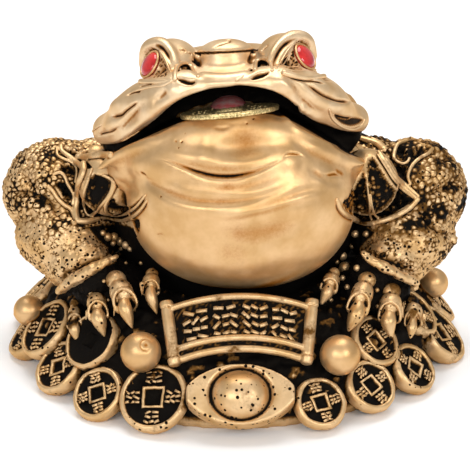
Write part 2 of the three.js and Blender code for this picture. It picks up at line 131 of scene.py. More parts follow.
def smooth_line(points, spacing):
    """Evenly spaced points of a smooth curve through the given ones. Numbers after x, y
    and z, such as a radius, are carried along."""
    knots = np.array(points, float)
    knots = np.vstack([2 * knots[0] - knots[1], knots, 2 * knots[-1] - knots[-2]])
    t = np.linspace(0, 1, 16, endpoint=False)[:, None]
    spans = []
    for a, b, c, d in zip(knots, knots[1:], knots[2:], knots[3:]):
        bend = (2 * a - 5 * b + 4 * c - d) * t**2 + (3 * b - a - 3 * c + d) * t**3
        spans.append(b + ((c - a) * t + bend) / 2)
    curve = np.vstack([*spans, knots[-2]])
    steps = np.linalg.norm(np.diff(curve[:, :3], axis=0), axis=1)
    reach = np.concatenate([[0], np.cumsum(steps)])
    even = np.linspace(0, reach[-1], max(2, int(reach[-1] / spacing) + 1))
    return np.column_stack([np.interp(even, reach, column) for column in curve.T])


def soft_step(value, low, high):
    share = np.clip((value - low) / (high - low), 0, 1)
    return share * share * (3 - 2 * share)


def on_heap(azimuth, inset, lift, spin=0):
    """Frame of a thing on the heap's slope: z leaves the slope, y runs up it."""
    turn = math.radians(azimuth)
    radius = HEAP_RADIUS - inset
    rise = HEAP_RIM + inset * math.tan(HEAP_SLOPE)
    return (
        Matrix.Translation((math.sin(turn) * radius, -math.cos(turn) * radius, rise))
        @ Matrix.Rotation(turn, 4, "Z")
        @ Matrix.Rotation(HEAP_SLOPE, 4, "X")
        @ Matrix.Translation((0, 0, lift))
        @ Matrix.Rotation(math.radians(spin), 4, "Z")
    )


# Plain forms, each a bmesh in millimetres

def ball(centre, radii, turn=(0, 0, 0), squareness=2, detail=32):
    """An ellipsoid. A squareness above 2 swells it towards a box with round corners."""
    form = bmesh.new()
    bmesh.ops.create_uvsphere(form, u_segments=detail, v_segments=detail // 2, radius=1)
    for vert in form.verts:
        vert.co = Vector([math.copysign(abs(c) ** (2 / squareness), c) for c in vert.co])
    bmesh.ops.scale(form, vec=Vector(radii), verts=form.verts)
    angles = Euler([math.radians(a) for a in turn]).to_matrix().to_4x4()
    bmesh.ops.transform(form, matrix=Matrix.Translation(centre) @ angles, verts=form.verts)
    return form


def limb(joints, sides=16, flat=1, ring_gap=0.8):
    """A rounded limb through joints of (x, y, z, radius). Flat widens it across its
    line and thins it from top to bottom."""
    line = smooth_line(joints, 0.4)
    steps = np.linalg.norm(np.diff(line[:, :3], axis=0), axis=1)
    reach = np.concatenate([[0], np.cumsum(steps)])
    length, start, end = reach[-1], line[0, 3], line[-1, 3]
    ahead = np.gradient(line[:, :3], axis=0)
    form = bmesh.new()
    rings = max(8, round((length + start + end) / ring_gap))
    bmesh.ops.create_uvsphere(form, u_segments=sides, v_segments=rings, radius=1)
    for vert in form.verts:
        share = math.acos(max(-1, min(1, vert.co.z))) / math.pi
        along = share * (length + start + end) - start
        inside = max(0, min(length, along))
        x, y, z, radius = (np.interp(inside, reach, column) for column in line.T)
        forward = Vector([np.interp(inside, reach, column) for column in ahead.T]).normalized()
        across = UP.cross(forward).normalized()
        above = forward.cross(across)
        ring = math.sqrt(max(0, radius**2 - (along - inside) ** 2))
        around = Vector((vert.co.x, vert.co.y)).normalized() * ring
        vert.co = (
            Vector((x, y, z))
            + forward * (along - inside)
            + across * around.x * flat
            + above * around.y / flat
        )
    bmesh.ops.recalc_face_normals(form, faces=form.faces)
    return form


def turned(profile, segments, closed=False):
    """A solid of revolution about z, from (radius, height) points. They start and end on
    the axis, or close up into a ring."""
    form = bmesh.new()
    rail = [form.verts.new((radius, 0, height)) for radius, height in profile]
    ahead = rail[1:] + rail[:1] if closed else rail[1:]
    edges = [form.edges.new(ends) for ends in zip(rail, ahead)]
    bmesh.ops.spin(
        form, geom=rail + edges, axis=(0, 0, 1), cent=(0, 0, 0),
        angle=math.tau, steps=segments, use_merge=True,
    )
    bmesh.ops.remove_doubles(form, verts=form.verts, dist=1e-4)
    bmesh.ops.recalc_face_normals(form, faces=form.faces)
    return form


def slab(outline, low, high):
    """A flat plate with the outline given as (x, y) points, between two heights."""
    form = bmesh.new()
    face = form.faces.new([form.verts.new((x, y, low)) for x, y in outline])
    grown = bmesh.ops.extrude_face_region(form, geom=[face])["geom"]
    top = [item for item in grown if isinstance(item, bmesh.types.BMVert)]
    bmesh.ops.translate(form, vec=(0, 0, high - low), verts=top)
    bmesh.ops.recalc_face_normals(form, faces=form.faces)
    return form


def placed(form, matrix):
    bmesh.ops.transform(form, matrix=matrix, verts=form.verts)
    return form


def squared(form, reach, above):
    """Pulls the round hole of a turned form out to a square one."""
    for vert in form.verts:
        flat = vert.co.xy
        if 1e-3 < flat.length < reach and vert.co.z > above:
            vert.co.xy = flat / (max(abs(flat.x), abs(flat.y)) / flat.length)
    return form


def ring_of(across, down, radius, turns, squash=1):
    """Pixels on a ring of the photo."""
    return [(across + radius * math.cos(a), down + radius * math.sin(a) * squash) for a in turns]


def mesh_of(forms):
    """One mesh from several forms."""
    whole = bmesh.new()
    for form in forms:
        part = bpy.data.meshes.new("part")
        form.to_mesh(part)
        form.free()
        whole.from_mesh(part)
        bpy.data.meshes.remove(part)
    mesh = bpy.data.meshes.new("whole")
    whole.to_mesh(mesh)
    whole.free()
    return mesh


def linked(name, data):
    """A new object in the scene."""
    thing = bpy.data.objects.new(name, data)
    bpy.context.scene.collection.objects.link(thing)
    return thing


def store(mesh, name, values):
    """Keeps one value for each vertex of a mesh."""
    kept = mesh.attributes.new(name, "FLOAT", "POINT")
    kept.data.foreach_set("value", values.astype(np.float32))


def with_modifier(mesh, kind, **settings):
    """The mesh that a modifier makes of a mesh."""
    thing = linked("shaping", mesh)
    modifier = thing.modifiers.new(kind, kind)
    for name, value in settings.items():
        setattr(modifier, name, value)
    bpy.context.view_layer.update()
    depsgraph = bpy.context.evaluated_depsgraph_get()
    made = bpy.data.meshes.new_from_object(thing.evaluated_get(depsgraph))
    bpy.data.objects.remove(thing)
    bpy.data.meshes.remove(mesh)
    return made


def fused(mesh, grain):
    """Melts a mesh's overlapping forms into one skin of even squares."""
    return with_modifier(mesh, "REMESH", mode="VOXEL", voxel_size=grain)


def cut(mesh, tool):
    """A mesh with another form taken out of it."""
    cutter = linked("cutter", mesh_of([tool]))
    made = with_modifier(mesh, "BOOLEAN", operation="DIFFERENCE", solver="EXACT", object=cutter)
    cutter_mesh = cutter.data
    bpy.data.objects.remove(cutter)
    bpy.data.meshes.remove(cutter_mesh)
    return made


class Clay:
    """A mesh that strokes, warts and hollows are worked into, in millimetres. Its stain holds both
    the dark patina and painted shade.
    """

    def __init__(self, mesh):
        self.mesh = mesh
        count = len(mesh.vertices)
        self.points = np.empty(count * 3)
        mesh.vertices.foreach_get("co", self.points)
        self.points = self.points.reshape(-1, 3)
        ends = np.empty(len(mesh.edges) * 2, np.int32)
        mesh.edges.foreach_get("vertices", ends)
        self.first, self.second = ends.reshape(-1, 2).T
        self.links = np.bincount(ends, minlength=count).clip(1)
        self.stain_and_shade = np.zeros(count)
        self.pits = np.zeros(count)
        self.settle()

    def settle(self):
        """Brings the mesh and its normals up to the points."""
        self.mesh.vertices.foreach_set("co", self.points.ravel())
        self.mesh.update()
        normals = np.empty(len(self.points) * 3, np.float32)
        self.mesh.vertex_normals.foreach_get("vector", normals)
        self.normals = normals.reshape(-1, 3).astype(float)
        self.grown_tree = None

    @property
    def tree(self):
        """Search tree of the faces, grown when it is first asked for."""
        if self.grown_tree is None:
            corners = [tuple(face.vertices) for face in self.mesh.polygons]
            self.grown_tree = BVHTree.FromPolygons(self.points.tolist(), corners)
        return self.grown_tree

    def mean_of_neighbours(self, values):
        columns = values.reshape(len(values), -1).T
        sums = [
            np.bincount(self.first, column[self.second], len(values))
            + np.bincount(self.second, column[self.first], len(values))
            for column in columns
        ]
        return (np.column_stack(sums) / self.links[:, None]).reshape(values.shape)

    def softened(self, values, rounds):
        for _ in range(rounds):
            values = (values + self.mean_of_neighbours(values)) / 2
        return values

    def soften(self, rounds):
        self.points = self.softened(self.points, rounds)
        self.settle()
        return self

    def seen_spot(self, px, py):
        """The spot of the surface that a pixel of the photo shows."""
        return self.tree.ray_cast(EYE, sight(px, py))[0]

    def seen_line(self, pixels):
        """A smooth stroke of the photo laid on the surface that the camera sees."""
        spots = [self.seen_spot(px, py) for px, py in smooth_line(pixels, 1.5)]
        spots = [spot for spot in spots if spot is not None]
        return smooth_line(spots, 0.3) if len(spots) > 1 else np.empty((0, 3))

    def near(self, line, reach):
        """Vertices within reach of a line, their distances and their shares along it."""
        if len(line) == 0:
            return np.empty(0, int), np.empty(0), np.empty(0)
        low, high = line.min(0) - reach, line.max(0) + reach
        found = np.flatnonzero(((self.points > low) & (self.points < high)).all(1))
        gaps = np.linalg.norm(self.points[found, None] - line[None], axis=2)
        nearest = gaps.argmin(1)
        gap = gaps[np.arange(len(found)), nearest]
        close = gap < reach
        return found[close], gap[close], nearest[close] / max(1, len(line) - 1)

    def gap_from(self, spot):
        return np.linalg.norm(self.points - np.array(spot), axis=1)

    def darken(self, share, stain_and_shade=1):
        self.stain_and_shade = np.maximum(self.stain_and_shade, share * stain_and_shade)

    def swell(self, share, height=1, stain_and_shade=0):
        """Moves each vertex outwards by its share of the height, inwards where that is
        negative, and stains it by its share of the stain."""
        self.points += self.normals * (share * height)[:, None]
        self.darken(share, stain_and_shade)

    def stroke(self, line, width, height, stain_and_shade=0, fade=0.4):
        """Raises a ridge along a line, or presses a groove where height is negative. It
        thins out towards its ends. The darker its core is, the narrower it is."""
        found, gap, share = self.near(line, width * 2.5)
        ends = soft_step(np.minimum(share, 1 - share), 0, fade)
        push = np.exp(-((gap / (width * (0.4 + 0.6 * ends))) ** 2)) * ends
        self.points[found] += self.normals[found] * (push * height)[:, None]
        self.stain_and_shade[found] = np.maximum(self.stain_and_shade[found], push ** (1 + 1.2 * stain_and_shade) * stain_and_shade)

    def strokes(self, *drawn, fade=0.4):
        """Several strokes of the photo: (pixels, width, height) each, and a stain."""
        for pixels, width, height, *stain_and_shade in drawn:
            self.stroke(self.seen_line(pixels), width, height, sum(stain_and_shade), fade)
        self.settle()

    def press(self, pixel, radius, height, stain_and_shade=0):
        """A soft round dent or swell without an edge."""
        gap = self.gap_from(self.seen_spot(*pixel))
        self.swell(np.exp(-((gap / radius) ** 2)), height, stain_and_shade)
        self.settle()

    def speckle(self, share, scale, dark):
        """Specks of old patina, as many as share allows."""
        for index in np.flatnonzero(share > 0.02):
            speck = soft_step(noise.noise(Vector(self.points[index]) / scale), 0, 0.25)
            self.stain_and_shade[index] = max(self.stain_and_shade[index], speck * share[index] * dark)

    def worn(self, share, scale):
        """Rubs specks of the dark patina away, down to the given share of it."""
        for index in np.flatnonzero(self.stain_and_shade > 0.3):
            speck = soft_step(noise.noise(Vector(self.points[index]) / scale), 0.02, 0.3)
            self.stain_and_shade[index] *= 1 - share * speck

    def refined(self, lines, reach=0.9):
        """The same skin with finer squares along the lines of small details."""
        chosen = np.zeros(len(self.points), bool)
        for line in lines:
            chosen[self.near(line, reach)[0]] = True
        form = bmesh.new()
        form.from_mesh(self.mesh)
        edges = [edge for edge in form.edges if all(chosen[vert.index] for vert in edge.verts)]
        bmesh.ops.subdivide_edges(form, edges=edges, cuts=1, use_grid_fill=True)
        many_sided = [face for face in form.faces if len(face.verts) > 4]
        bmesh.ops.triangulate(form, faces=many_sided)
        form.to_mesh(self.mesh)
        form.free()
        return Clay(self.mesh)

    def dot(self, centre, radius, height, stain_and_shade=0):
        """A round boss, or a pit where height is negative."""
        share = soft_step(-self.gap_from(centre), -radius, -radius * 0.2)
        self.swell(share, height, stain_and_shade)

    def seen_dot(self, pixel, radius, height, stain_and_shade=0):
        spot = self.seen_spot(*pixel)
        if spot is not None:
            self.dot(spot, radius, height, stain_and_shade)

    def within(self, outline, edge):
        """How far each vertex lies inside an outline of the photo: 0 outside, 1 inside,
        with a soft edge in pixels. Only what faces the camera counts."""
        seen = in_photo(self.points)
        loop = smooth_line([*outline, outline[0]], 2)[:-1]
        inside = np.zeros(len(seen), bool)
        for (ax, ay), (bx, by) in zip(loop, np.roll(loop, -1, 0)):
            crosses = (ay > seen[:, 1]) != (by > seen[:, 1])
            if ay != by:
                meets = ax + (seen[:, 1] - ay) * (bx - ax) / (by - ay)
                inside ^= crosses & (seen[:, 0] < meets)
        inside &= self.normals @ np.array(FORWARD) < 0.1
        found = np.flatnonzero(inside)
        share = np.zeros(len(seen))
        gaps = np.linalg.norm(seen[found, None] - loop[None], axis=2).min(1)
        share[found] = soft_step(gaps, 0, edge)
        return share

    def hollow(self, outline, depth, edge, stain_and_shade):
        """Presses in what lies within an outline of the photo."""
        share = self.within(outline, edge)
        self.swell(share, -depth, stain_and_shade)
        self.settle()
        return share

    def warts(self, seed, count, size, height, keep):
        """Scatters round warts over the vertices that keep allows, apart from each
        other by their own width."""
        dice = np.random.default_rng(seed)
        allowed = np.flatnonzero(keep)
        push = np.zeros(len(self.points))
        taken = np.empty((0, 4))
        for pick in dice.choice(allowed, min(len(allowed), count * 6), replace=False):
            radius = size * dice.uniform(0.6, 1.25)
            centre = self.points[pick]
            apart = np.linalg.norm(taken[:, :3] - centre, axis=1)
            if (apart < (taken[:, 3] + radius) * 0.88).any():
                continue
            taken = np.vstack([taken, [*centre, radius]])
            dome = np.sqrt(np.clip(1 - (self.gap_from(centre) / radius) ** 2, 0, 1))
            push = np.maximum(push, dome * height * dice.uniform(0.6, 1.1) * radius / size)
            if len(taken) >= count:
                break
        self.swell(push)
        self.settle()

    def nuggets(self, size, height, share, missing, dark=0.9, gap=0.2):
        """Packs small nuggets side by side with dark gaps. Share says how much of them
        shows at each vertex, missing how many are left out of the pack. The gaps are
        darker in some patches than in others."""
        push = np.zeros(len(self.points))
        for index in np.flatnonzero(share > 0.02):
            spot = Vector(self.points[index])
            gaps, owners = noise.voronoi(spot / size)
            chance = noise.noise(owners[0] * 9.7) * 0.5 + 0.5
            if chance < missing:
                continue
            edge = 2 * gaps[0] / (gaps[0] + gaps[1])
            dome = math.sqrt(max(0, 1 - edge**2.4))
            push[index] = height * (0.3 + 1.1 * chance) * dome * share[index]
            patch = soft_step(noise.noise(spot / (size * 3.1)), -0.3, 0.35)
            between = soft_step(edge, 0.95 - gap * (0.6 + patch), 0.97)
            gap_stain = dark * share[index] * between * (0.5 + 0.5 * patch)
            rubbed = self.stain_and_shade[index] * (1 - 0.75 * dome * share[index])
            self.stain_and_shade[index] = max(rubbed, gap_stain)
        self.swell(push)
        self.settle()

    def roughen(self, scale, height, share=None):
        """Uneven hand-worked surface."""
        push = np.array([noise.noise(Vector(point) / scale) for point in self.points]) * height
        self.swell(push if share is None else push * share)
        self.settle()


LAID_ROUNDS = 8


def seen_gap(carriers, ray):
    """How far from the camera a ray meets the first of some pieces, if it meets one."""
    gaps = [carrier.tree.ray_cast(EYE, ray)[3] for carrier in carriers]
    return min((gap for gap in gaps if gap is not None), default=None)


def laid(carriers, pixels, start, end):
    """A round cord along a line of the photo, half sunk in what the camera sees there.
    Start and end are its radii."""
    rays, gaps = [], []
    for px, py in smooth_line(pixels, 2):
        ray = sight(px, py)
        gap = seen_gap(carriers, ray)
        if gap is not None:
            rays.append(np.array(ray))
            gaps.append(gap)
    gaps = np.array(gaps)
    for _ in range(LAID_ROUNDS):
        gaps[1:-1] = (gaps[:-2] + 2 * gaps[1:-1] + gaps[2:]) / 4
    spots = np.array(EYE) + np.array(rays) * gaps[:, None]
    radii = np.linspace(start, end, len(spots))
    return limb([(*spot, radius) for spot, radius in zip(spots, radii)], sides=10, ring_gap=0.4)


def local_to(seat, points):
    """Points as they lie in the frame of a seat."""
    back = np.array(seat.inverted())
    return points @ back[:3, :3].T + back[:3, 3]


# Head and throat

MOUTH_TOP = [
    (-35, -12, 60.2), (-29, -18.5, 62.8), (-22, -25, 68.7), (-13.5, -30, 77.2),
    (-8, -32, 80.4), (0, -33, 82.4), (8, -32, 81), (13.5, -30, 77.8), (22, -25, 68.8),
    (29, -18.5, 62.7), (35, -12, 60.1),
]
MOUTH_BOTTOM = [
    (-35.5, -14, 59), (-30, -18.5, 61), (-23, -26, 66.4), (-13.5, -31.5, 72.2),
    (-8, -33.5, 74.3), (0, -35, 74.7), (8, -33.5, 75.2), (13.5, -31.5, 72.7),
    (23, -26, 64.2), (30, -18.5, 56.6), (35.5, -14, 54),
]
UPPER_JAW = [
    (0, -28.5, 80.6, 3.4), (11.5, -25, 79, 5), (19.6, -20, 74, 6), (26.4, -15, 68, 5.6),
    (30.6, -9, 63.6, 4.6),
]
LOWER_JAW = [
    (0, -29, 67.8, 6.6), (12.5, -26.4, 65.6, 6.2), (21.5, -21.4, 60, 5.6),
    (27.5, -15.6, 54.4, 4.6), (31.5, -11, 51.8, 3.2),
]
# The gap between the lips goes from the back of the mouth to well before the lips
MOUTH_BACK = -9
MOUTH_FRONT = -50
MOUTH_REACH = 37
MOUTH_CORNER_DROP = 1.5
# The mouth's lining is dark from just within the edge of a lip and from just behind it
LINING_INSIDE = (-0.9, -0.3)
LINING_BEHIND = (0.4, 4)
LINING_STAIN = 0.98
CROWN = (-0.4, -9, 82.6)
CROWN_TILT = math.radians(-18)
CROWN_LINE_WIDTH = 0.3
CROWN_LINE_RADII = (5.6, 8)
# The left eye stone's middle and the way it faces
EYE_SPOT = (19, -15.3, 82.5)
EYE_FACING = (0.75, -0.3, 0.58)


def across_head(half):
    """A line from the right end of a jaw to its left one, from its left half."""
    return [(-x, *rest) for x, *rest in half[:0:-1]] + list(half)


def mouth_gap():
    """The open mouth: all between the two lips, inwards and slightly down."""
    lean = math.tan(MOUTH_LEAN)

    def edge(lip):
        flat = [(x, z + (y - MOUTH_BACK) * lean) for x, y, z in lip]
        line = [tuple(point) for point in smooth_line(flat, 2)]
        right, left = line[0][1] - MOUTH_CORNER_DROP, line[-1][1] - MOUTH_CORNER_DROP
        return [(-MOUTH_REACH, right), *line, (MOUTH_REACH, left)]

    form = slab(edge(MOUTH_TOP) + edge(MOUTH_BOTTOM)[::-1], 0, MOUTH_BACK - MOUTH_FRONT)
    for vert in form.verts:
        x, height, depth = vert.co
        vert.co = (x, MOUTH_BACK - depth, height + depth * lean)
    bmesh.ops.recalc_face_normals(form, faces=form.faces)
    return placed(form, HEAD_POSE)


def eye_place(side):
    """Seat of an eye stone. A side is -1 for the toad's right and 1 for its left."""
    facing = Vector((side * EYE_FACING[0], *EYE_FACING[1:])).normalized()
    turn = UP.rotation_difference(facing).to_matrix().to_4x4()
    spot = Vector((side * EYE_SPOT[0], *EYE_SPOT[1:]))
    return HEAD_POSE @ Matrix.Translation(spot) @ turn


# Lines of the face as the photo shows them, in its pixels. Right is the toad's right.
RIGHT_EYE_GROOVE = [(148, 53), (154, 46), (160, 47), (166, 53), (170, 61), (174, 69)]
LEFT_EYE_GROOVE = [(271, 68), (276, 57), (282, 47), (289, 42), (298, 39), (305, 44)]
RIGHT_EYEBALL = [(159, 55), (164, 58), (168, 66), (169, 74), (164, 78), (152, 78), (157, 68)]
LEFT_EYEBALL = [(284, 68), (289, 54), (294, 47), (298, 58), (302, 66), (306, 70), (294, 71)]
RIGHT_NOSTRIL = [
    (176.5, 77.5), (182, 77.6), (189, 80), (195, 80), (195.5, 83), (190, 85.6), (183, 84),
    (177.5, 80.5),
]
LEFT_NOSTRIL = [
    (250.5, 78.8), (254, 74.5), (261.4, 71.6), (269.5, 71), (268, 74.5), (261.4, 78.4),
    (253, 80.6),
]
RIGHT_TEMPLE_RINGS = [(183, 51.5, 3.4), (189.5, 54.5, 2.8)]  # middle and radius

# Cords laid on the face, with the radius at each end
FACE_RIDGES = [
    ([(160, 51), (164, 57), (167, 63.5), (170, 71), (174, 77)], 0.3, 0.25),
    ([(137, 81), (145, 82), (156, 81.5), (166, 81), (171, 79)], 0.8, 0.5),
    ([(137, 90), (149, 87), (163, 85), (172, 81)], 0.45, 0.35),
    ([(175, 79), (175.5, 71), (179, 64.5), (186, 63),
      (191, 66.5), (194, 72), (198, 77)], 0.65, 0.5),
    ([(276, 69), (282, 60), (287, 51.5), (293, 45), (300, 42)], 0.3, 0.25),
    ([(278, 72), (285, 62), (289, 55)], 0.25, 0.2),
    ([(284, 70), (298, 71.5), (312, 71), (319, 67)], 0.3, 0.25),
    ([(284, 73), (292, 75), (306, 77.5), (318, 77), (326, 76)], 0.9, 0.7),
    ([(255, 70), (256.5, 62), (263, 59), (269, 61), (271.5, 66), (272, 71)], 0.6, 0.45),
    ([(250, 70), (244, 76), (236, 80)], 0.5, 0.4),
    ([(329, 109), (332, 118), (341, 126), (352, 129.5), (361, 126), (365, 120)], 0.35, 0.4),
    ([(91, 148), (90.5, 138), (94, 130), (101, 125)], 0.35, 0.3),
]
# Strokes worked into the face: width, height and, where it is dark, stain. The brown in the valleys
# is partly patina and partly painted shade.
FACE_SWELLS = [
    ([(97, 146), (110, 143), (122, 138), (131, 130), (140, 122), (150, 115), (160, 106),
      (171, 99), (185, 92), (200, 87)], 1.3, 0.75),
    ([(103, 113), (113, 106), (124, 100), (134, 94)], 1.8, 0.6),
    ([(101, 130), (110, 126), (120, 121), (128, 115)], 1.5, 0.55),
    ([(134, 118), (143, 110), (152, 101), (158, 92)], 1.9, 0.55),
    ([(165, 94), (174, 89), (180, 86)], 1.4, 0.35),
    ([(256, 85), (270, 89), (284, 95), (297, 105), (311, 115),
      (329, 127), (344, 132), (357, 132)], 1.2, 0.7),
    ([(268, 77), (280, 81), (289, 87), (296, 96)], 1.5, 0.45),
    ([(300, 77), (314, 82), (327, 88), (341, 95)], 1.9, 0.6),
    ([(304, 90), (313, 97), (325, 104), (337, 107), (350, 108)], 1.6, 0.6),
    ([(200, 81), (212, 84), (230, 84.5), (243, 82)], 0.9, 0.35),
    ([(200, 73), (212, 77), (230, 77), (245, 72)], 1.4, 0.3),
]
FACE_VALLEYS = [
    ([(117, 131), (127, 123), (136, 113), (147, 104), (158, 99), (166, 91)], 1.2, -0.7, 0.28),
    ([(160, 103), (163, 95), (169, 88)], 0.9, -0.35, 0.15),
    ([(275.6, 73.4), (288, 80.7), (296.5, 88), (301, 97), (309, 106), (322, 113)], 1, -0.55, 0.28),
    ([(320, 83), (328, 79), (336, 83)], 0.8, -0.4, 0.35),
    ([(196, 70), (200, 76), (208, 80)], 1, -0.5, 0.2),
    ([(252, 68), (247, 74), (240, 78)], 1, -0.5, 0.2),
    # These two paint the shade on the sides of the crown's column
    ([(194, 52), (196.5, 60), (201, 68)], 0.7, -0.5, 0.6),
    ([(255, 52), (251.5, 59), (247, 66)], 0.7, -0.5, 0.6),
]
FACE_CREASES = [
    ([(110, 117), (115.5, 116), (121, 115),
      (126, 111), (132, 106.5), (139, 100.5)], 0.42, -0.8, 0.9),
    ([(97, 137), (102, 134), (110, 133.2), (115, 130.5), (119, 126)], 0.36, -0.6, 0.8),
    ([(126, 96), (132, 92.5), (142, 91)], 0.36, -0.5, 0.9),
    ([(138, 86), (150, 85), (163, 83.5)], 0.36, -0.5, 0.95),
    ([(177.5, 73), (179.5, 67), (183.5, 65), (189, 67)], 0.4, -0.7, 1),
    ([(302, 81), (309, 85.5), (316.4, 90.8), (326.8, 96.6),
      (337.3, 100), (347, 101.4), (354, 101)], 0.42, -0.8, 0.85),
    ([(284, 75), (300, 79.5), (314, 81), (328, 83.5)], 0.36, -0.6, 0.9),
    ([(333, 115), (338, 116.8), (345, 118.4), (353, 118.6)], 0.5, -0.6, 1),
    ([(258, 68), (259.5, 63), (264, 62), (267.5, 65), (266, 68.5)], 0.4, -0.7, 1),
    ([(261, 51), (264.5, 47.5), (268.5, 44.5)], 0.4, -0.7, 1),
    ([(195, 51), (201, 56)], 0.32, -0.6, 0.9),
    ([(191, 59), (199, 66.5)], 0.32, -0.6, 0.9),
    ([(250, 54), (256, 50)], 0.32, -0.6, 0.9),
    ([(250.5, 64), (257, 59)], 0.32, -0.6, 0.9),
    ([(212, 48.5), (217, 46), (224, 43.5), (230, 41.5), (229, 39.5), (221, 41)], 0.25, -0.45, 0.95),
]
CHEEK_POCKET = [
    (333, 113), (344, 118), (356, 117), (364, 119), (361, 124), (352, 127.5), (342, 125),
    (336, 119),
]

# Outlines pressed into the head: depth, soft edge in pixels, stain
FACE_HOLLOWS = [
    # The eyeballs' light stain is painted shade
    (RIGHT_EYEBALL, 0.15, 3, 0.3),
    (LEFT_EYEBALL, 0.15, 3, 0.3),
    (RIGHT_NOSTRIL, 1.1, 2.5, 0.95),
    (LEFT_NOSTRIL, 1.1, 2.5, 0.95),
    (CHEEK_POCKET, 0.5, 2, 0.75),
]
FOLD_DEPTH = 1.5  # how much deeper the folds are than their tables say
# Brows, from the snout back over the eye
RIGHT_BROW = [
    (-12.4, -21.8, 80.8, 1.5), (-13.4, -18.6, 84, 2.1), (-15.8, -13, 86.4, 2.1),
    (-19.4, -10.4, 85, 1.9), (-20.8, -8.4, 80, 1.5),
]
LEFT_BROW = [
    (10.6, -22.4, 81.2, 1.5), (12, -18.8, 84.4, 2.1), (15.6, -13, 86.4, 2.1),
    (19.4, -10.4, 85, 1.9), (20.8, -8.4, 80, 1.5),
]
# Sockets of the eye stones
SOCKET_WALL = 0.9
SOCKET_REACH = 3
SOCKET_FLOOR = 1.3


def line_mouth(clay):
    """Darkens the lining of the mouth, from just behind the lips inwards."""
    spots = local_to(HEAD_POSE, clay.points)
    flat = spots[:, 2] + (spots[:, 1] - MOUTH_BACK) * math.tan(MOUTH_LEAN)
    lining = np.full(len(spots), LINING_STAIN)
    for lip, side in ((MOUTH_TOP, 1), (MOUTH_BOTTOM, -1)):
        line = smooth_line(lip, 1)
        level = line[:, 2] + (line[:, 1] - MOUTH_BACK) * math.tan(MOUTH_LEAN)
        edge = np.interp(spots[:, 0], line[:, 0], level)
        behind = spots[:, 1] - np.interp(spots[:, 0], line[:, 0], line[:, 1])
        inside = soft_step((edge - flat) * side, *LINING_INSIDE)
        lining *= inside * soft_step(behind, *LINING_BEHIND)
    clay.darken(lining)


def line_crown(clay):
    """Darkens the line at the foot of the crown's dome."""
    seat = HEAD_POSE @ Matrix.Translation(CROWN) @ Matrix.Rotation(CROWN_TILT, 4, "X")
    spots = local_to(seat, clay.points)
    around = np.hypot(spots[:, 0], spots[:, 1])
    inner, outer = CROWN_LINE_RADII
    line = np.exp(-((spots[:, 2] / CROWN_LINE_WIDTH) ** 2)) * (around > inner) * (around < outer)
    clay.darken(line, 0.95)


def crown_boss():
    """The domed boss between the brows, with the line at the foot of its dome."""
    profile = [
        (0, -7), (7.3, -7), (7, -0.6), (6.3, -0.3), (6.3, 0.2), (7, 0.4), (6.6, 1), (5.5, 1.8),
        (4.2, 2.5), (2.8, 2.95), (1.4, 3.15), (0, 3.2),
    ]
    boss = placed(turned(profile, 56), Matrix.Rotation(CROWN_TILT, 4, "X"))
    return placed(boss, Matrix.Translation(CROWN))


def press_sockets(head):
    """Presses in a seat with a flat floor for each eye stone."""
    for side in (-1, 1):
        seat = eye_place(side)
        turn, middle = np.array(seat.to_3x3()), np.array(seat.translation)
        local = (head.points - middle) @ turn
        around = np.hypot(local[:, 0], local[:, 1])
        socket = (around < EYE_STONE_RADIUS + SOCKET_WALL) & (abs(local[:, 2]) < SOCKET_REACH)
        wall = soft_step(around, EYE_STONE_RADIUS - 0.1, EYE_STONE_RADIUS + 0.35)
        level = wall * SOCKET_WALL - SOCKET_FLOOR
        sunk = socket & (local[:, 2] > level)
        local[sunk, 2] = level[sunk]
        head.points = local @ turn.T + middle


def toad_head():
    forms = []
    for side in (-1, 1):
        forms += [
            ball((side * 14, -9.5, 79.5), (7.4, 9, 6.8)),
            ball((side * 16.5, -14.3, 80.7), (4.8, 4.8, 4.8)),
        ]
    forms += [
        limb(RIGHT_BROW),
        limb(LEFT_BROW),
        limb(across_head(UPPER_JAW), sides=24),
        ball((0, -9, 72.6), (22.6, 20.5, 9.2), squareness=2.3, detail=48),
        ball((0, -10.6, 76), (7.4, 9, 7)),
        crown_boss(),
    ]
    mesh = mesh_of([placed(form, HEAD_POSE) for form in forms])
    head = Clay(fused(cut(fused(mesh, 0.5), mouth_gap()), 0.4)).soften(3)
    head.press((363, 103), 6.5, -2.2)
    head.press((100, 114), 6, -1.1)
    head = head.refined([head.seen_line(pixels) for pixels, *_ in FACE_CREASES + FACE_RIDGES])
    head.strokes(*[
        (pixels, width, height * FOLD_DEPTH, *stain_and_shade)
        for pixels, width, height, *stain_and_shade in FACE_SWELLS + FACE_VALLEYS
    ])
    head.soften(2)
    head.strokes((RIGHT_EYE_GROOVE, 0.8, -1.1, 1), (LEFT_EYE_GROOVE, 0.95, -1.2, 1))
    head.strokes(*FACE_CREASES, fade=0.22)
    for eyeball in (RIGHT_EYEBALL, LEFT_EYEBALL):
        head.speckle(head.within(eyeball, 3), 0.55, 0.9)
    for outline, depth, edge, stain_and_shade in FACE_HOLLOWS:
        head.hollow(outline, depth, edge, stain_and_shade)
    press_sockets(head)
    line_mouth(head)
    line_crown(head)
    return head.soften(1)


def toad_nape():
    """The back and the sides of the neck, under the head."""
    form = placed(ball((0, -3, 60), (33, 20, 12.5), squareness=2.3, detail=64), HEAD_POSE)
    nape = Clay(fused(cut(mesh_of([form]), mouth_gap()), 0.75)).soften(3)
    nape.roughen(1.8, 0.5)
    line_mouth(nape)
    return nape


def face_ridges(head, nape):
    """Lids, nostril rims and curls, laid on the skin."""
    forms = [laid([head, nape], pixels, start, end) for pixels, start, end in FACE_RIDGES]
    for across, down, radius in RIGHT_TEMPLE_RINGS:
        turns = np.linspace(0.2, math.tau * 0.95, 12)
        forms.append(laid([head], ring_of(across, down, radius, turns, squash=0.8), 0.3, 0.3))
    return Clay(fused(mesh_of(forms), 0.16)).soften(1)
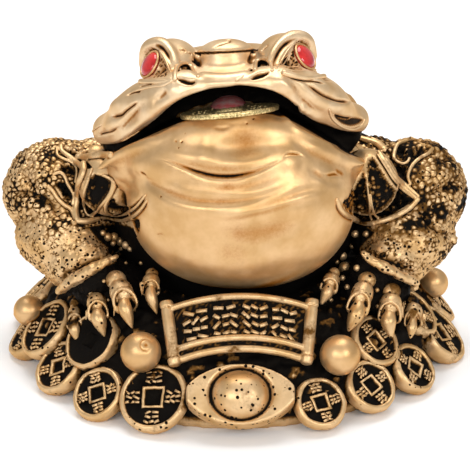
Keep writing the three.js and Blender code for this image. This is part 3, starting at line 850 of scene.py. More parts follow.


# Lines of the throat in the photo's pixels: width and height of each stroke, and its stain. The
# brown in the valleys is partly patina and partly painted shade.
LOWER_LIP_RIM = [
    (94, 166), (108, 155), (120, 149), (135, 142), (152, 137), (165, 131), (176, 125), (189, 121),
    (212, 119.5),
    (235, 119.5), (255, 114), (274, 112.5), (285, 118), (298, 129.5), (313, 137), (330, 144),
    (345, 150), (357, 160),
]
MAIN_CREASE = [
    (150, 158), (165, 160), (183, 167), (199, 173), (218, 176.5), (238, 176), (256, 172),
    (272, 165), (288, 156),
]
THROAT_SWELLS = [
    ([(98, 168), (115, 156), (135, 147), (160, 138), (178, 131)], 1.8, 0.7),
    ([(365, 163), (347, 160), (328, 152), (308, 143), (292, 133)], 1.8, 0.45),
    ([(x, y + 9) for x, y in MAIN_CREASE[2:-2]], 1.7, 0.5),
    ([(x, y - 11) for x, y in MAIN_CREASE], 2.4, 0.6),
    ([(138, 183), (155, 194), (175, 205), (200, 209), (230, 209), (262, 205), (290, 195),
      (310, 184)], 1.8, 0.5),
    ([(190, 215), (215, 217), (245, 214.5), (275, 207.5), (305, 197), (332, 193)], 1.3, 0.6),
    ([(192, 152), (208, 153), (224, 151)], 3.4, 0.55),
    ([(278, 166), (290, 164), (303, 167)], 2.2, 0.4),
    ([(310, 182), (325, 180), (340, 184)], 2.2, 0.4),
    ([(165, 250), (195, 262), (225, 265), (260, 262), (295, 248)], 4, 0.6),
]
THROAT_VALLEYS = [
    ([(104, 173), (120, 162), (140, 152), (158, 146), (173, 139)], 1.6, -0.7, 0.26),
    ([(350, 171), (330, 161), (312, 152), (296, 142), (283, 134)], 1.3, -0.6, 0.3),
    ([(160, 155), (180, 160), (200, 166), (218, 169),
      (240, 169), (258, 165), (276, 157)], 1.3, -0.4, 0.28),
    ([(126, 169), (142, 177), (160, 188), (180, 196), (200, 200.5), (225, 201.5), (250, 199),
      (272, 193), (290, 184), (303, 174)], 1.1, -0.8, 0.32),
    ([(190, 182), (212, 187), (240, 187), (262, 182), (287, 170)], 1.5, -0.45, 0.28),
    ([(225, 210), (250, 208), (280, 200), (308, 190), (330, 188)], 1, -0.5, 0.24),
    ([(205, 220), (235, 219.5), (262, 214.5), (290, 206), (322, 197)], 1.1, -0.55, 0.28),
    ([(200, 232), (225, 236), (250, 236.5), (277, 231), (300, 221), (318, 210)], 3.4, -1.3, 0.3),
    # Painted shade spreading up from the belly's lower edge
    ([(205, 250), (232, 253), (262, 249)], 4.5, -0.4, 0.2),
    # Painted shade along the belly's lower edge, with no relief
    ([(155, 252), (172, 270), (196, 283), (222, 289), (250, 289), (278, 282), (302, 270),
      (322, 252), (336, 230)], 4, 0, 0.5),
    ([(108, 176), (128, 187), (146, 200)], 1.2, -0.5, 0.15),
    ([(312, 172), (330, 180), (345, 184)], 1, -0.4, 0.15),
]
THROAT_STREAKS = [
    ([(306, 166), (318, 174), (333, 180)], 0.9, -0.3, 0.25),
    ([(332, 165), (339, 171), (347, 176)], 0.9, -0.3, 0.4),
]
SMALL_CREASES = [
    ([(281, 159), (285, 155.5), (290, 153.5), (299, 154.5), (306, 158)], 0.35, -0.45, 0.6),
    ([(138, 172), (144, 175), (147, 179)], 0.5, -0.5, 0.7),
    ([(320, 173), (328, 175), (336, 174), (343, 177)], 0.6, -0.5, 0.6),
    ([(154, 236), (161, 234), (166, 238)], 0.3, -0.2, 0.4),
    ([(212, 127), (222, 128), (232, 126)], 0.6, -0.2, 0),
]
# The points at the throat's upper corners, from (across, down, radius), at one depth
THROAT_HORN_DEPTH = -22.5
RIGHT_THROAT_HORN = [(122, 156.5, 2.6), (110, 162, 1.8), (101, 167.5, 1), (95, 169, 0.4)]
LEFT_THROAT_HORN = [(336, 158, 3.4), (350, 160.5, 2.1), (361, 163, 1), (368.5, 163, 0.25)]
THROAT_PINHOLES = [
    (185, 134), (229, 141), (254, 119), (161, 197), (176, 141), (182, 142), (178, 148),
    (247, 123),
]


def toad_throat():
    chin = ball((0, -17, 60.5), (28.5, 22, 13.5), detail=48)
    forms = [
        placed(chin, Matrix.Translation((HEAD_MIDDLE / 2, 0, 0))),
        ball((BODY_MIDDLE, -17.5, 48.2), (28.7, 24.7, 23), squareness=2.2, detail=64),
        placed(limb(across_head(LOWER_JAW), sides=24), HEAD_POSE),
    ]
    for horn in (LEFT_THROAT_HORN, RIGHT_THROAT_HORN):
        joints = [(*at_depth(px, py, THROAT_HORN_DEPTH), radius) for px, py, radius in horn]
        forms.append(limb(joints))
    throat = Clay(fused(cut(fused(mesh_of(forms), 0.6), mouth_gap()), 0.48)).soften(6)
    creases = [MAIN_CREASE, *[pixels for pixels, *_ in SMALL_CREASES]]
    throat = throat.refined([throat.seen_line(pixels) for pixels in creases])
    throat.strokes(*THROAT_SWELLS)
    throat.soften(3)
    throat.strokes(*THROAT_VALLEYS, *THROAT_STREAKS, (LOWER_LIP_RIM, 0.7, 0.5))
    # The dip under the chin, with painted brown shade in it.
    throat.press((246, 141), 4.6, -1.1, 0.34)
    throat.soften(2)
    throat.strokes((MAIN_CREASE, 0.62, -1.2, 1), *SMALL_CREASES)
    throat.soften(1)
    for pinhole in THROAT_PINHOLES:
        throat.seen_dot(pinhole, 0.32, -0.3, 1)
    throat.settle()
    line_mouth(throat)
    return throat


# Body and limbs

SPINE_ROWS = (-7.5, 7.5)
SPINE_WARTS = range(4, 44, 5)


def shoulder(side):
    return limb([(side * 28, 10, 41, 12), (side * 40, 6, 41.5, 10.5)])


def heel():
    """The hind foot under its toes."""
    return ball((0, 41, 25), (9, 7, 5))


def toad_body():
    forms = [
        ball((0, 8, 39), (34, 38, 34.5), detail=64),
        ball((0, 28, 31), (30, 24, 21), detail=48),
        shoulder(-1),
        shoulder(1),
        limb([(0, 34, 44, 12), (0, 46, 36, 10), (0, 44, 26, 7)], flat=1.25),
        heel(),
    ]
    body = Clay(fused(mesh_of(forms), 0.75)).soften(6)
    back = (body.points[:, 1] > -6) & (body.points[:, 2] > 30)
    body.warts(3, 130, 1.9, 1.1, back & (body.normals[:, 2] > -0.1))
    for row in SPINE_ROWS:
        for y in SPINE_WARTS:
            spot = body.tree.ray_cast(Vector((row, y, 120)), -UP)[0]
            if spot is not None:
                body.dot(spot, 2.6, 1.6)
    body.roughen(2.2, 0.25)
    body.soften(1)
    # Paints the black shade between the arms, the belly and the feet.
    for shade in (RIGHT_SHADE, LEFT_SHADE, BELLY_SHADE):
        body.darken(body.within(shade, 2), SHADE_STAIN)
    return body


def arm(side):
    forms = [
        ball((side * 45.6, 3, 39.6), (14, 14, 13.8), detail=48),
        shoulder(side),
        ball((side * 42.8, -3, 31.4), (13.8, 15.5, 10.6), detail=48),
        limb([
            (side * 43, -8, 29, 9), (side * 39, -15, 27.5, 8), (side * 34.5, -20.5, 26.5, 6),
        ]),
    ]
    return Clay(fused(mesh_of(forms), 0.34)).soften(6)


# Grooves and lumps of the arms in the photo's pixels
RIGHT_ARM_GROOVES = [
    [(58, 285), (68, 275), (80, 267), (94, 259.5), (110, 253)],
    [(22, 170), (28, 180), (34, 188), (38, 195)],
    [(3, 186), (16, 192), (34, 196), (46, 203), (58, 214), (70, 227)],
    [(12, 206), (16, 222), (10, 232)],
]
LEFT_ARM_GROOVES = [
    [(360, 247), (378, 256), (394, 262), (408, 269), (422, 277)],
    [(419, 200), (430, 193), (445, 189), (458, 181), (467, 180)],
    [(412, 206), (422, 214), (432, 224), (444, 232), (460, 234)],
    [(424, 152), (440, 156), (452, 166)],
]
# Across, down and radius
LEFT_ARM_LUMPS = [
    (441, 214, 2.8), (452, 206, 1.5), (427, 222, 1.7), (440, 232, 1.8), (452, 240, 1.6),
]
# The nuggets of the arms begin at the low height and are at their full size at the high one
ARM_LOW = 33
ARM_HIGH = 39

# Outlines of what lies in black shade between the arms, the belly and the feet, painted near-black
SHADE_STAIN = 0.97
RIGHT_SHADE = [
    (84, 225), (110, 223), (135, 228), (150, 250), (170, 290), (160, 330), (60, 345), (58, 298),
    (72, 285),
    (88, 275), (104, 265), (118, 258), (108, 250), (96, 240),
]
LEFT_SHADE = [
    (336, 232), (344, 222), (358, 222), (376, 232), (366, 244), (362, 252), (378, 263),
    (395, 271), (410, 284),
    (420, 300), (400, 335), (330, 325), (318, 280),
]
BELLY_SHADE = [(130, 240), (225, 262), (330, 240), (345, 300), (225, 312), (120, 300)]


def sculpted_arm(side, grooves, shade, gap, lumps=()):
    """Nuggets side by side above, and skin with a few of them left below."""
    piece = arm(side)
    piece.strokes(*[(groove, 1.5, -1.7, 0.95) for groove in grooves])
    piece.soften(1)
    for px, py, radius in lumps:
        piece.seen_dot((px, py), radius, 1)
    piece.settle()
    upper = soft_step(piece.points[:, 2], ARM_LOW, ARM_HIGH)
    piece.roughen(5, 0.5)
    piece.nuggets(1.5, 0.75, upper, missing=0.3, gap=gap)
    piece.nuggets(1.1, 0.4, 1 - upper, missing=0.5, dark=0.75, gap=gap * 0.6)
    piece.roughen(0.8, 0.14, upper)
    # Paints the black shade between the arm, the belly and the foot.
    piece.darken(piece.within(shade, 4), SHADE_STAIN)
    piece.pits = 2.2 - upper * 0.4
    return piece


# Frills: rims of skin laid on the arm and the fold behind each corner of the mouth, in
# the photo's pixels with the radius at each end, and the dark pockets between them
RIGHT_FRILL_RIMS = [
    ([(79, 158), (86, 158), (95, 156), (103, 155), (111, 155)], 1.25, 0.9),
    ([(61, 145), (62, 151), (69, 156.5), (76, 162), (83.5, 168)], 0.6, 0.8),
    ([(83.5, 164), (84, 172), (79.5, 182), (78, 192), (77, 201), (75.5, 210), (77, 219)], 1, 0.8),
    ([(57, 147), (57.5, 155), (64, 159), (71, 162),
      (76, 166.5), (77, 173), (75.5, 182)], 0.4, 0.45),
    ([(53, 174.5), (60.5, 172.5), (65, 177), (67.5, 183.5),
      (71, 189), (74, 196), (72.5, 204)], 0.42, 0.5),
    ([(48, 186), (53, 191), (57.5, 198), (64.5, 205), (71, 209), (75, 218)], 0.5, 0.6),
    ([(92, 169), (88, 180), (84.5, 192), (84, 206), (88.5, 215.5), (95.5, 212), (104, 202),
      (110, 193), (112.5, 184), (111, 179), (103, 175)], 0.45, 0.42),
    ([(112, 179), (115, 185), (111.5, 194), (107, 202), (105.5, 208), (107, 213), (114, 215),
      (125, 214), (135, 208), (142, 200), (145.5, 195)], 0.5, 0.42),
    ([(99, 217), (107, 217.5), (121, 220), (132, 217), (140.5, 210), (147, 200.5)], 0.7, 0.42),
    ([(78, 221), (88, 221), (98, 218)], 0.85, 0.75),
]
LEFT_FRILL_RIMS = [
    ([(358, 138), (368, 141), (378, 144.5), (384, 150)], 0.9, 1.15),
    ([(371, 137.5), (381, 142), (386, 148.5)], 0.3, 0.3),
    ([(380.5, 151.5), (389, 163.5), (397, 176), (406.5, 184.5), (419, 196)], 0.3, 0.34),
    ([(377, 154), (385, 166), (392.5, 178), (400.5, 188), (411, 196), (417, 199)], 0.3, 0.34),
    ([(378.5, 152), (387, 165), (394.5, 177), (403.5, 186.5), (415.5, 197.5)], 0.62, 0.62),
    ([(418, 199), (410.5, 207), (401, 213.5),
      (389.5, 218.5), (380, 221.5), (373, 223)], 0.66, 0.85),
    ([(374, 223), (364, 222.5), (354, 219), (346, 215), (340, 209), (337, 200)], 0.95, 0.62),
    ([(367, 183), (368, 192.5), (369.5, 204), (370, 215), (373, 222)], 0.26, 0.34),
    ([(370.5, 194), (372, 205.5), (375, 215), (381, 218),
      (390, 216), (401, 210), (409, 205)], 0.28, 0.34),
    ([(407, 140.5), (398, 144), (394.5, 152), (394.5, 159), (401, 163.5), (407, 162.5),
      (409.5, 158)], 0.6, 0.4),
    ([(432.5, 148.5), (428, 153.5), (421.5, 157), (415, 162), (410.5, 168.5), (408, 176.5),
      (410.5, 184)], 0.5, 0.45),
]
RIGHT_FRILL_POCKETS = [
    [(93.5, 173), (103, 176), (110.5, 180.5), (110, 190), (104, 199.5), (96, 209.5), (89, 213.5),
     (84, 206), (85, 193), (88, 181.5)],
    [(107.5, 201), (114, 198.5), (117.5, 203), (124.5, 206.5), (133, 204.5), (140.5, 198.5),
     (144, 196), (141, 203.5), (133, 208.5), (122.5, 212.5), (113.5, 213), (107.5, 210.5)],
    [(61, 164), (69, 164.5), (75, 168), (75.5, 173), (73, 178), (67.5, 175), (61, 170)],
    [(58, 180.5), (65, 182), (70.5, 188.5), (72.5, 196), (69.5, 202), (64, 197), (59.5, 191),
     (56, 185)],
    [(66, 149), (75, 151), (80, 156), (88, 162), (92, 168), (84, 168), (76, 160), (68, 155)],
    [(100, 222), (120, 224), (136, 218), (140, 226), (134, 240), (118, 238), (104, 230)],
]
LEFT_FRILL_POCKETS = [
    [(351, 191), (357, 179), (363, 172), (367, 181), (368, 193), (369, 206), (369.5, 217),
     (364, 219.5), (355.5, 216.5), (347.5, 211), (342.5, 204), (349, 196)],
    [(368, 158), (374, 157), (381, 167), (389, 180), (397, 190), (408.5, 200), (411, 202),
     (402, 209), (389.5, 215), (380, 217), (374, 212.5), (371, 197), (368, 184), (366, 171)],
    [(398, 147), (404, 147), (407, 153), (405, 160), (399, 160.5), (396.5, 154)],
    [(387, 150), (392, 153), (393, 161), (401, 166), (407, 166), (405, 174), (407, 182),
     (399, 175), (391, 163)],
    [(410, 150), (420, 146), (430, 148), (425, 153), (414, 160), (411, 158)],
]
POCKET_DEPTH = 1.3
RIM_SEAM = 0.65  # how far the dark line at a rim's foot reaches past the rim


def frill(side, carriers, rims, pockets, bare):
    """The fold behind a corner of the mouth and the rims of skin laid on it. The pockets
    between the rims are pressed into the fold, the arm and the edge of the throat."""
    corner = ball((BODY_MIDDLE / 2 + side * 32.5, -11, 48.5), (8, 8.5, 8.5))
    fold = Clay(fused(mesh_of([corner]), 0.3)).soften(1)
    cords = [laid([fold, *carriers], pixels, start, end) for pixels, start, end in rims]
    for piece in (fold, *carriers[:2]):
        for pixels, start, end in rims:
            seam = (start + end) / 2 + RIM_SEAM
            piece.stroke(piece.seen_line(pixels), seam, -0.25, 0.9, fade=0.1)
        piece.settle()
        for pocket in pockets:
            share = piece.hollow(pocket, POCKET_DEPTH, edge=2, stain_and_shade=1)
            piece.nuggets(1.1, 0.8, share, missing=bare)
    return fold, Clay(fused(mesh_of(cords), 0.17)).soften(1)


# Toes as the photo shows them: knuckles, hood of skin, root of the claw and its tip. Each
# has its pixel, its depth and its radius.
RIGHT_TOES = [
    [(76, 304, -21, 1.5), (74.5, 317, -25, 1.9), (74.5, 328, -27.5, 1.5), (77.5, 342, -29.5, 0.3)],
    [(95.5, 291.5, -24, 2.3), (97.5, 306, -28.5, 2.6), (98.5, 318, -31.5, 1.9),
     (105, 337, -33.5, 0.25)],
    [(116, 280, -26, 2.4), (124, 294.5, -31, 3), (125, 308, -34, 1.75), (132.5, 328.5, -36.5, 0.2)],
    [(152, 274, -26.5, 1.5), (150.5, 282, -29, 2.25), (151, 296, -31.5, 1.5),
     (157, 314, -34, 0.25)],
]
LEFT_TOES = [
    [(334, 273, -25, 1.4), (331, 281.5, -27.5, 2.2), (327.5, 292, -29.5, 1.55),
     (321.5, 303, -31, 0.5)],
    [(367, 280, -26, 2.1), (360.5, 297, -31, 2.8), (357, 313, -34, 2.1), (348, 331.5, -36.5, 0.25)],
    [(391, 291.5, -25, 2.3), (391, 307, -29, 2.9), (388.5, 321, -31.5, 2), (391, 336, -33.5, 0.6)],
    [(403, 292, -19, 1.3), (412, 301, -22, 1.5), (414, 313, -25, 2.3), (412, 327, -27.5, 1.3),
     (410.5, 338, -29, 0.3)],
]
# Loose ends of skin between the toes, with their depth
RIGHT_FLAPS = [
    ([(116.5, 301), (115, 308), (114, 316)], -32),
    ([(134, 297), (135, 304), (135, 312)], -32),
    ([(142, 284), (142, 295)], -32),
    ([(88, 312), (86, 320)], -28),
]
LEFT_FLAPS = [
    ([(401, 308), (403, 318)], -28),
    ([(424, 316), (424, 325)], -28),
    ([(368, 300), (370, 308)], -28),
]
# Beads: (across, down, radius)
RIGHT_BEADS = [
    (103, 233, 0.8), (108, 237, 1.1), (114, 237, 1.2), (113, 243, 0.8), (120, 241, 1.3),
    (126, 245, 1.1), (121, 248, 0.7),
    (130, 249, 0.7), (104, 281, 0.5), (118, 258, 0.5), (126, 263, 0.45), (141, 263, 0.55),
    (108, 300, 0.45),
]
LEFT_BEADS = [
    (355, 234, 1), (366, 234, 0.85), (342.5, 256, 1.2), (344.5, 267.5, 1.5), (357, 268, 0.9),
    (347, 287, 0.75),
    (342.5, 278, 0.75), (377, 290, 0.6), (378, 306, 0.6), (352, 246, 0.7), (337, 262, 0.6),
    (331, 300, 0.6),
]


def hood(start, end, wide):
    """A hood of skin over a toe. Its thick lip arches in front and trails at the sides."""
    axis = end - start
    long = axis.length
    profile = [
        (0, -0.16), (0.6, -0.12), (0.85, 0.06), (0.97, 0.3), (1, 0.5), (0.94, 0.6), (0.99, 0.7),
        (1.06, 0.92), (1, 1), (0.84, 1), (0.76, 0.84), (0, 0.8),
    ]
    form = turned([(radius * wide, height * long) for radius, height in profile], 24)
    turn = UP.rotation_difference(axis).to_matrix().to_4x4()
    placed(form, Matrix.Translation(start) @ turn)
    ahead = (EYE - start).normalized()
    for vert in form.verts:
        reach = vert.co - start
        share = reach.dot(axis) / long**2
        around = reach - axis * share
        if around.length > wide * 0.5:
            front = around.normalized().dot(ahead)
            trail = max(-0.34, min(0.4, (0.42 - front) * 0.7))
            vert.co += axis * (trail * soft_step(share, 0.5, 1))
    return form


def toe(stations):
    """Knuckles, a hood of skin and the claw that leaves it, from (point, radius) pairs."""
    *knuckles, (middle, wide), (root, thick), (tip, sharp) = stations
    bone = [(*spot, radius * 0.66) for spot, radius in [*knuckles, (middle, wide)]]
    claw = [
        (*middle.lerp(root, 0.2), thick * 0.6), (*root, thick),
        (*root.lerp(tip, 0.5), thick * 0.74), (*tip, sharp),
    ]
    return [
        *[ball(spot, (size * 1.1, size * 1.1, size), detail=20) for spot, size in knuckles],
        limb(bone, ring_gap=0.4),
        hood(knuckles[-1][0].lerp(middle, 0.38), middle.lerp(root, 0.45), wide),
        limb(claw, ring_gap=0.3),
    ]


def foretoes(toes, flaps):
    forms = []
    for stations in toes:
        forms += toe([(at_depth(px, py, y), radius) for px, py, y, radius in stations])
    for pixels, depth in flaps:
        radii = np.linspace(0.7, 0.2, len(pixels))
        line = [(*at_depth(px, py, depth), radius) for (px, py), radius in zip(pixels, radii)]
        forms.append(limb(line, sides=10, ring_gap=0.3))
    piece = Clay(fused(mesh_of(forms), 0.22)).soften(1)
    piece.pits[:] = 0.8
    # Specks of patina that thicken towards the back of the toes, as painted shade under the belly
    piece.speckle(soft_step(piece.points[:, 1], -31, -25), 2.6, 0.55)
    return piece


def palm(side, toes):
    """The foot behind the toes, painted black as the shade of the belly."""
    forms = [ball((BODY_MIDDLE + side * 33, -19, 23.5), (10, 8.5, 5), turn=(20, 0, 0))]
    for (px, py, y, radius), *_ in toes:
        knuckle = at_depth(px, py, y)
        behind = knuckle + Vector((0, 6, -3))
        forms.append(limb([(*behind, radius * 0.8), (*knuckle, radius * 0.75)], sides=12))
    piece = Clay(fused(mesh_of(forms), 0.4)).soften(2)
    piece.roughen(1.2, 0.4)
    piece.stain_and_shade[:] = 0.96
    return piece


def beads(carriers, spots):
    """Small beads strung over what the camera sees there."""
    forms = []
    for px, py, radius in spots:
        ray = sight(px, py)
        gap = seen_gap(carriers, ray)
        if gap is not None:
            forms.append(ball(EYE + ray * (gap - radius * 0.3), (radius,) * 3, detail=16))
    return forms


# Cuffs of skin over the feet: (across, down, depth, radius)
RIGHT_CUFF = [
    (60, 291, -21.5, 1.2), (70, 282.5, -23.5, 1.8), (82, 275, -25, 1.85), (95, 267.5, -26, 1.55),
    (108, 260, -25.5, 1), (118, 256, -24, 0.4),
]
LEFT_CUFF = [
    (363, 253, -24.5, 0.9), (375, 262, -25.5, 1.35), (389, 269.5, -25.5, 1.5),
    (403, 276.5, -24, 1.4),
    (415, 283, -22, 1.5), (411, 290, -22, 0.8),
]


def cuff(joints):
    line = [(*at_depth(px, py, y), radius) for px, py, y, radius in joints]
    piece = Clay(fused(mesh_of([limb(line, flat=1.2)]), 0.3)).soften(2)
    piece.roughen(1.6, 0.35)
    piece.roughen(0.7, 0.12)
    piece.pits[:] = 2.2
    return piece


HIND_TOE_ANGLES = (-24, -8, 8, 24)
# Distance from the ankle, height above the heap and radius
HIND_FOOT_STATIONS = [(4, 5, 2.4), (8, 4.6, 2.2)]
HIND_TOE_STATIONS = [(8, 4.6, 2.6), (12.5, 3.6, 2.6), (15.5, 2.4, 1.8), (20, 0.6, 0.3)]
ANKLE = 36


def hind_foot():
    """Four toes spread over the back of the heap."""
    forms = [heel()]
    for angle in HIND_TOE_ANGLES:
        spread = math.radians(angle)

        def spot(distance, above):
            x, y = distance * math.sin(spread), ANKLE + distance * math.cos(spread)
            height = min(HEAP_TOP, HEAP_RIM + HEAP_RADIUS - math.hypot(x, y))
            return (x, y, height + above)

        forms.append(limb([(*spot(*place), radius) for *place, radius in HIND_FOOT_STATIONS]))
        forms += toe([(Vector(spot(*place)), radius) for *place, radius in HIND_TOE_STATIONS])
    return Clay(fused(mesh_of(forms), 0.35)).soften(1)


def tongue():
    return mesh_of([placed(ball((-0.4, -16, 68.8), (5, 11.6, 2.9), detail=48), HEAD_POSE)])


# Heap of coins

# The coins that the photo shows: azimuth, inset, radius, lift and turn
FRONT_COINS = [
    (-78, 1.6, 6.8, 0, 20),
    (-55, 2.2, 7.1, 0, 40),
    (-37.6, 1.2, 6.8, 0.4, 35),
    (-21.6, 3, 8.6, 1, 12),
    (22.4, 2, 6.5, 0.6, 5),
    (38.4, 2.6, 6.7, 0.3, 15),
    (55.3, 1.8, 6.6, 0.3, 30),
    (77.6, 2, 8.4, 0.3, 60),
    (-69, 5.8, 8.3, 1.6, 30),
    (-48.2, 9.2, 7.6, 1.5, 0),
    (47.4, 9.4, 6.8, 1, 10),
    (73, 8.4, 7, 1.2, 40),
]
WORN_COIN = (-48.2, 9.2)  # its azimuth and inset
WORN_RIM = 0.7
# Two rows of coins that the photo doesn't show, from the azimuth where they start
BACK_COINS = 8
BACK_COIN_RADIUS = 8.4
BACK_COIN_INSET = 3.6
BACK_START = 98
UPPER_BACK_INSET = 11
UPPER_BACK_SHARE = 0.9
# Azimuth, inset and radius
PEARLS = [
    (-27.6, 9.8, PEARL_RADIUS), (30.5, 8.8, PEARL_RADIUS),
    (-80, 4.8, SMALL_PEARL_RADIUS), (94, 6.6, SMALL_PEARL_RADIUS),
]
PEARL_RING = (146, 345)
PEARL_RING_RADIUS = 6
WAVE_SEED = 1  # without a seed Blender's noise vectors differ in each run
MARK_RELIEF = 0.6
MARK_WIDTH = 0.62
MARK_SINK = 0.05
HOLE_FRAME = 0.45
FIELD_STAIN = 0.88


def bar(start, end, width, height, lift):
    """A short raised stroke whose top is narrower than its foot."""
    form = bmesh.new()
    bmesh.ops.create_cube(form, size=1)
    start, end = Vector(start), Vector(end)
    for vert in form.verts:
        if vert.co.z > 0:
            vert.co.y *= 0.8
    run = end - start
    turn = math.atan2(run.y, run.x)
    stretch = Matrix.Diagonal((run.length + width * 0.6, width, height, 1))
    middle = (start + end) / 2
    seat = Matrix.Translation((middle.x, middle.y, lift + height / 2))
    return placed(form, seat @ Matrix.Rotation(turn, 4, "Z") @ stretch)


def mark(dice, width, height, thickness, relief, lift, rows):
    """Rows of short loose strokes that spell nothing."""
    forms = []
    pitch = height / rows
    for row in range(rows):
        middle = height / 2 - pitch * (row + 0.5)
        count = int(dice.integers(2, 4))
        step = width / count
        for i in range(count):
            across = (i + 0.5 + dice.uniform(-0.06, 0.06)) * step - width / 2
            half = step * dice.uniform(0.24, 0.34)
            rise = pitch * dice.uniform(-0.28, 0.28)
            start, end = (across - half, middle - rise), (across + half, middle + rise)
            forms.append(bar(start, end, thickness, relief, lift))
    return forms


def coin(radius, rim, seed, worn):
    """A thick cast coin: rounded rim, sunk field, square hole with a raised frame, and a
    mark on each side of the hole. A worn one has neither the frame nor the marks."""
    dice = np.random.default_rng(seed)
    field = -COIN_RELIEF
    side = COIN_HOLE * radius
    frame_width = 0 if worn else HOLE_FRAME
    outer = side + frame_width
    profile = [
        (0, field - 1), (side, field - 1), (side, field + frame_width),
        (outer, field + frame_width), (outer + 0.15, field), (rim - 0.35, field),
        (rim, -0.12), (rim + 0.25, 0), (radius - 0.5, -0.05), (radius - 0.1, -0.35),
        (radius + 0.15, -1), (radius + 0.2, -2), (radius, -3), (radius - 0.7, -4.2),
        (radius - 1.8, -COIN_DEPTH), (0, -COIN_DEPTH),
    ]
    forms = [squared(turned(profile, 48), outer + 0.3, -COIN_DEPTH / 2)]
    if worn:
        return forms
    reach = (outer + rim) / 2 + 0.1
    cell = (rim - side - frame_width) * 0.72
    size = (cell * 1.15, cell * 1.05, MARK_WIDTH, MARK_RELIEF, field - MARK_SINK)
    for x, y in ((0, 1), (1, 0), (0, -1), (-1, 0)):
        seat = Matrix.Translation((x * reach, y * reach, 0))
        forms += [placed(stroke, seat) for stroke in mark(dice, *size, rows=3)]
    return forms


def stained_face(forms, low, high, edge):
    """A mesh whose face is dark below the low height and clean above the high one. What
    lies beyond the edge radius is clean."""
    mesh = mesh_of(forms)
    spots = np.array([vert.co for vert in mesh.vertices])
    stain_and_shade = (1 - soft_step(spots[:, 2], low, high)) * FIELD_STAIN
    stain_and_shade *= np.hypot(spots[:, 0], spots[:, 1]) < edge
    store(mesh, "stain_and_shade", stain_and_shade)
    return mesh


def heap_coins():
    noise.seed_set(WAVE_SEED)
    places = list(FRONT_COINS)
    step = (360 - 2 * BACK_START) / (BACK_COINS - 1)
    for i in range(BACK_COINS):
        azimuth = BACK_START + step * i
        places.append((azimuth, BACK_COIN_INSET, BACK_COIN_RADIUS, (i % 2) * 0.8, 17 * i))
    for i in range(BACK_COINS - 1):
        azimuth, radius = BACK_START + step * (i + 0.5), BACK_COIN_RADIUS * UPPER_BACK_SHARE
        places.append((azimuth, UPPER_BACK_INSET, radius, 0.6, 29 * i))
    coins = []
    for seed, (azimuth, inset, radius, lift, spin) in enumerate(places):
        worn = (azimuth, inset) == WORN_COIN
        rim = radius - COIN_RIM * (WORN_RIM if worn else 1)
        forms = coin(radius, rim, seed, worn)
        mesh = stained_face(forms, 0.05 - COIN_RELIEF, 0.3 - COIN_RELIEF, rim + 0.1)
        mesh.transform(on_heap(azimuth, inset, lift, spin))
        for vert in mesh.vertices:
            broad = noise.noise_vector(vert.co * 0.22) * 0.22
            vert.co += broad + noise.noise_vector(vert.co * 0.8) * 0.14
            vert.co.z = max(vert.co.z, 0)
        coins.append(mesh)
    return coins


def mound():
    """The dark crumbly heap that carries the coins."""
    foot = HEAP_RADIUS - MOUND_INSET
    ledge = HEAP_RADIUS - (HEAP_TOP - HEAP_RIM) / math.tan(HEAP_SLOPE)
    profile = [
        (0, 0), (foot, 0), (foot, 4), (foot, HEAP_RIM + MOUND_INSET - 1),
        (ledge, HEAP_TOP - 1), (0, HEAP_TOP),
    ]
    base = Clay(fused(mesh_of([turned(profile, 96)]), 0.9)).soften(2)
    above = soft_step(base.points[:, 2], 1, 4)
    base.roughen(2.4, 1.3, above)
    base.stain_and_shade[:] = 0.97 * above
    base.nuggets(1.9, 1, above, missing=0.62)
    base.points[:, 2] = base.points[:, 2].clip(0)
    base.settle()
    return base


def pearls():
    """Balls between the coins. One has a small ring pressed into it."""
    forms = []
    for azimuth, inset, size in PEARLS:
        middle = on_heap(azimuth, inset, size * 0.7).translation
        forms.append(ball(middle, (size,) * 3, detail=64))
    piece = Clay(mesh_of(forms))
    ring = ring_of(*PEARL_RING, PEARL_RING_RADIUS, np.linspace(0, math.tau, 13))
    for _ in range(2):
        piece = piece.refined([piece.seen_line(ring)])
    piece.stroke(piece.seen_line(ring), 0.35, -0.16, 0.4, fade=0.3)
    piece.seen_dot(PEARL_RING, 0.9, -0.25, 0.5)
    piece.settle()
    return piece


# Scroll

SCROLL_PLACE = on_heap(1.7, SCROLL_INSET, -SCROLL_SINK)
SCROLL_HALF = SCROLL_LENGTH / 2
SCROLL_BEND = (SCROLL_HALF**2 + SCROLL_ARCH**2) / (2 * SCROLL_ARCH)
SCROLL_MARKS = 4
SCROLL_MARK_ROWS = 4


def on_scroll(point):
    """Bends a flat point of the panel: arched outwards, bowed up the slope, tapered."""
    x, y, z = point
    rise = SCROLL_ARCH - SCROLL_BEND + math.sqrt(SCROLL_BEND**2 - x * x)
    wide = x * (1 + SCROLL_TAPER * y / SCROLL_HEIGHT)
    return Vector((wide, y + SCROLL_BOW * (1 - (x / SCROLL_HALF) ** 2), z + rise))


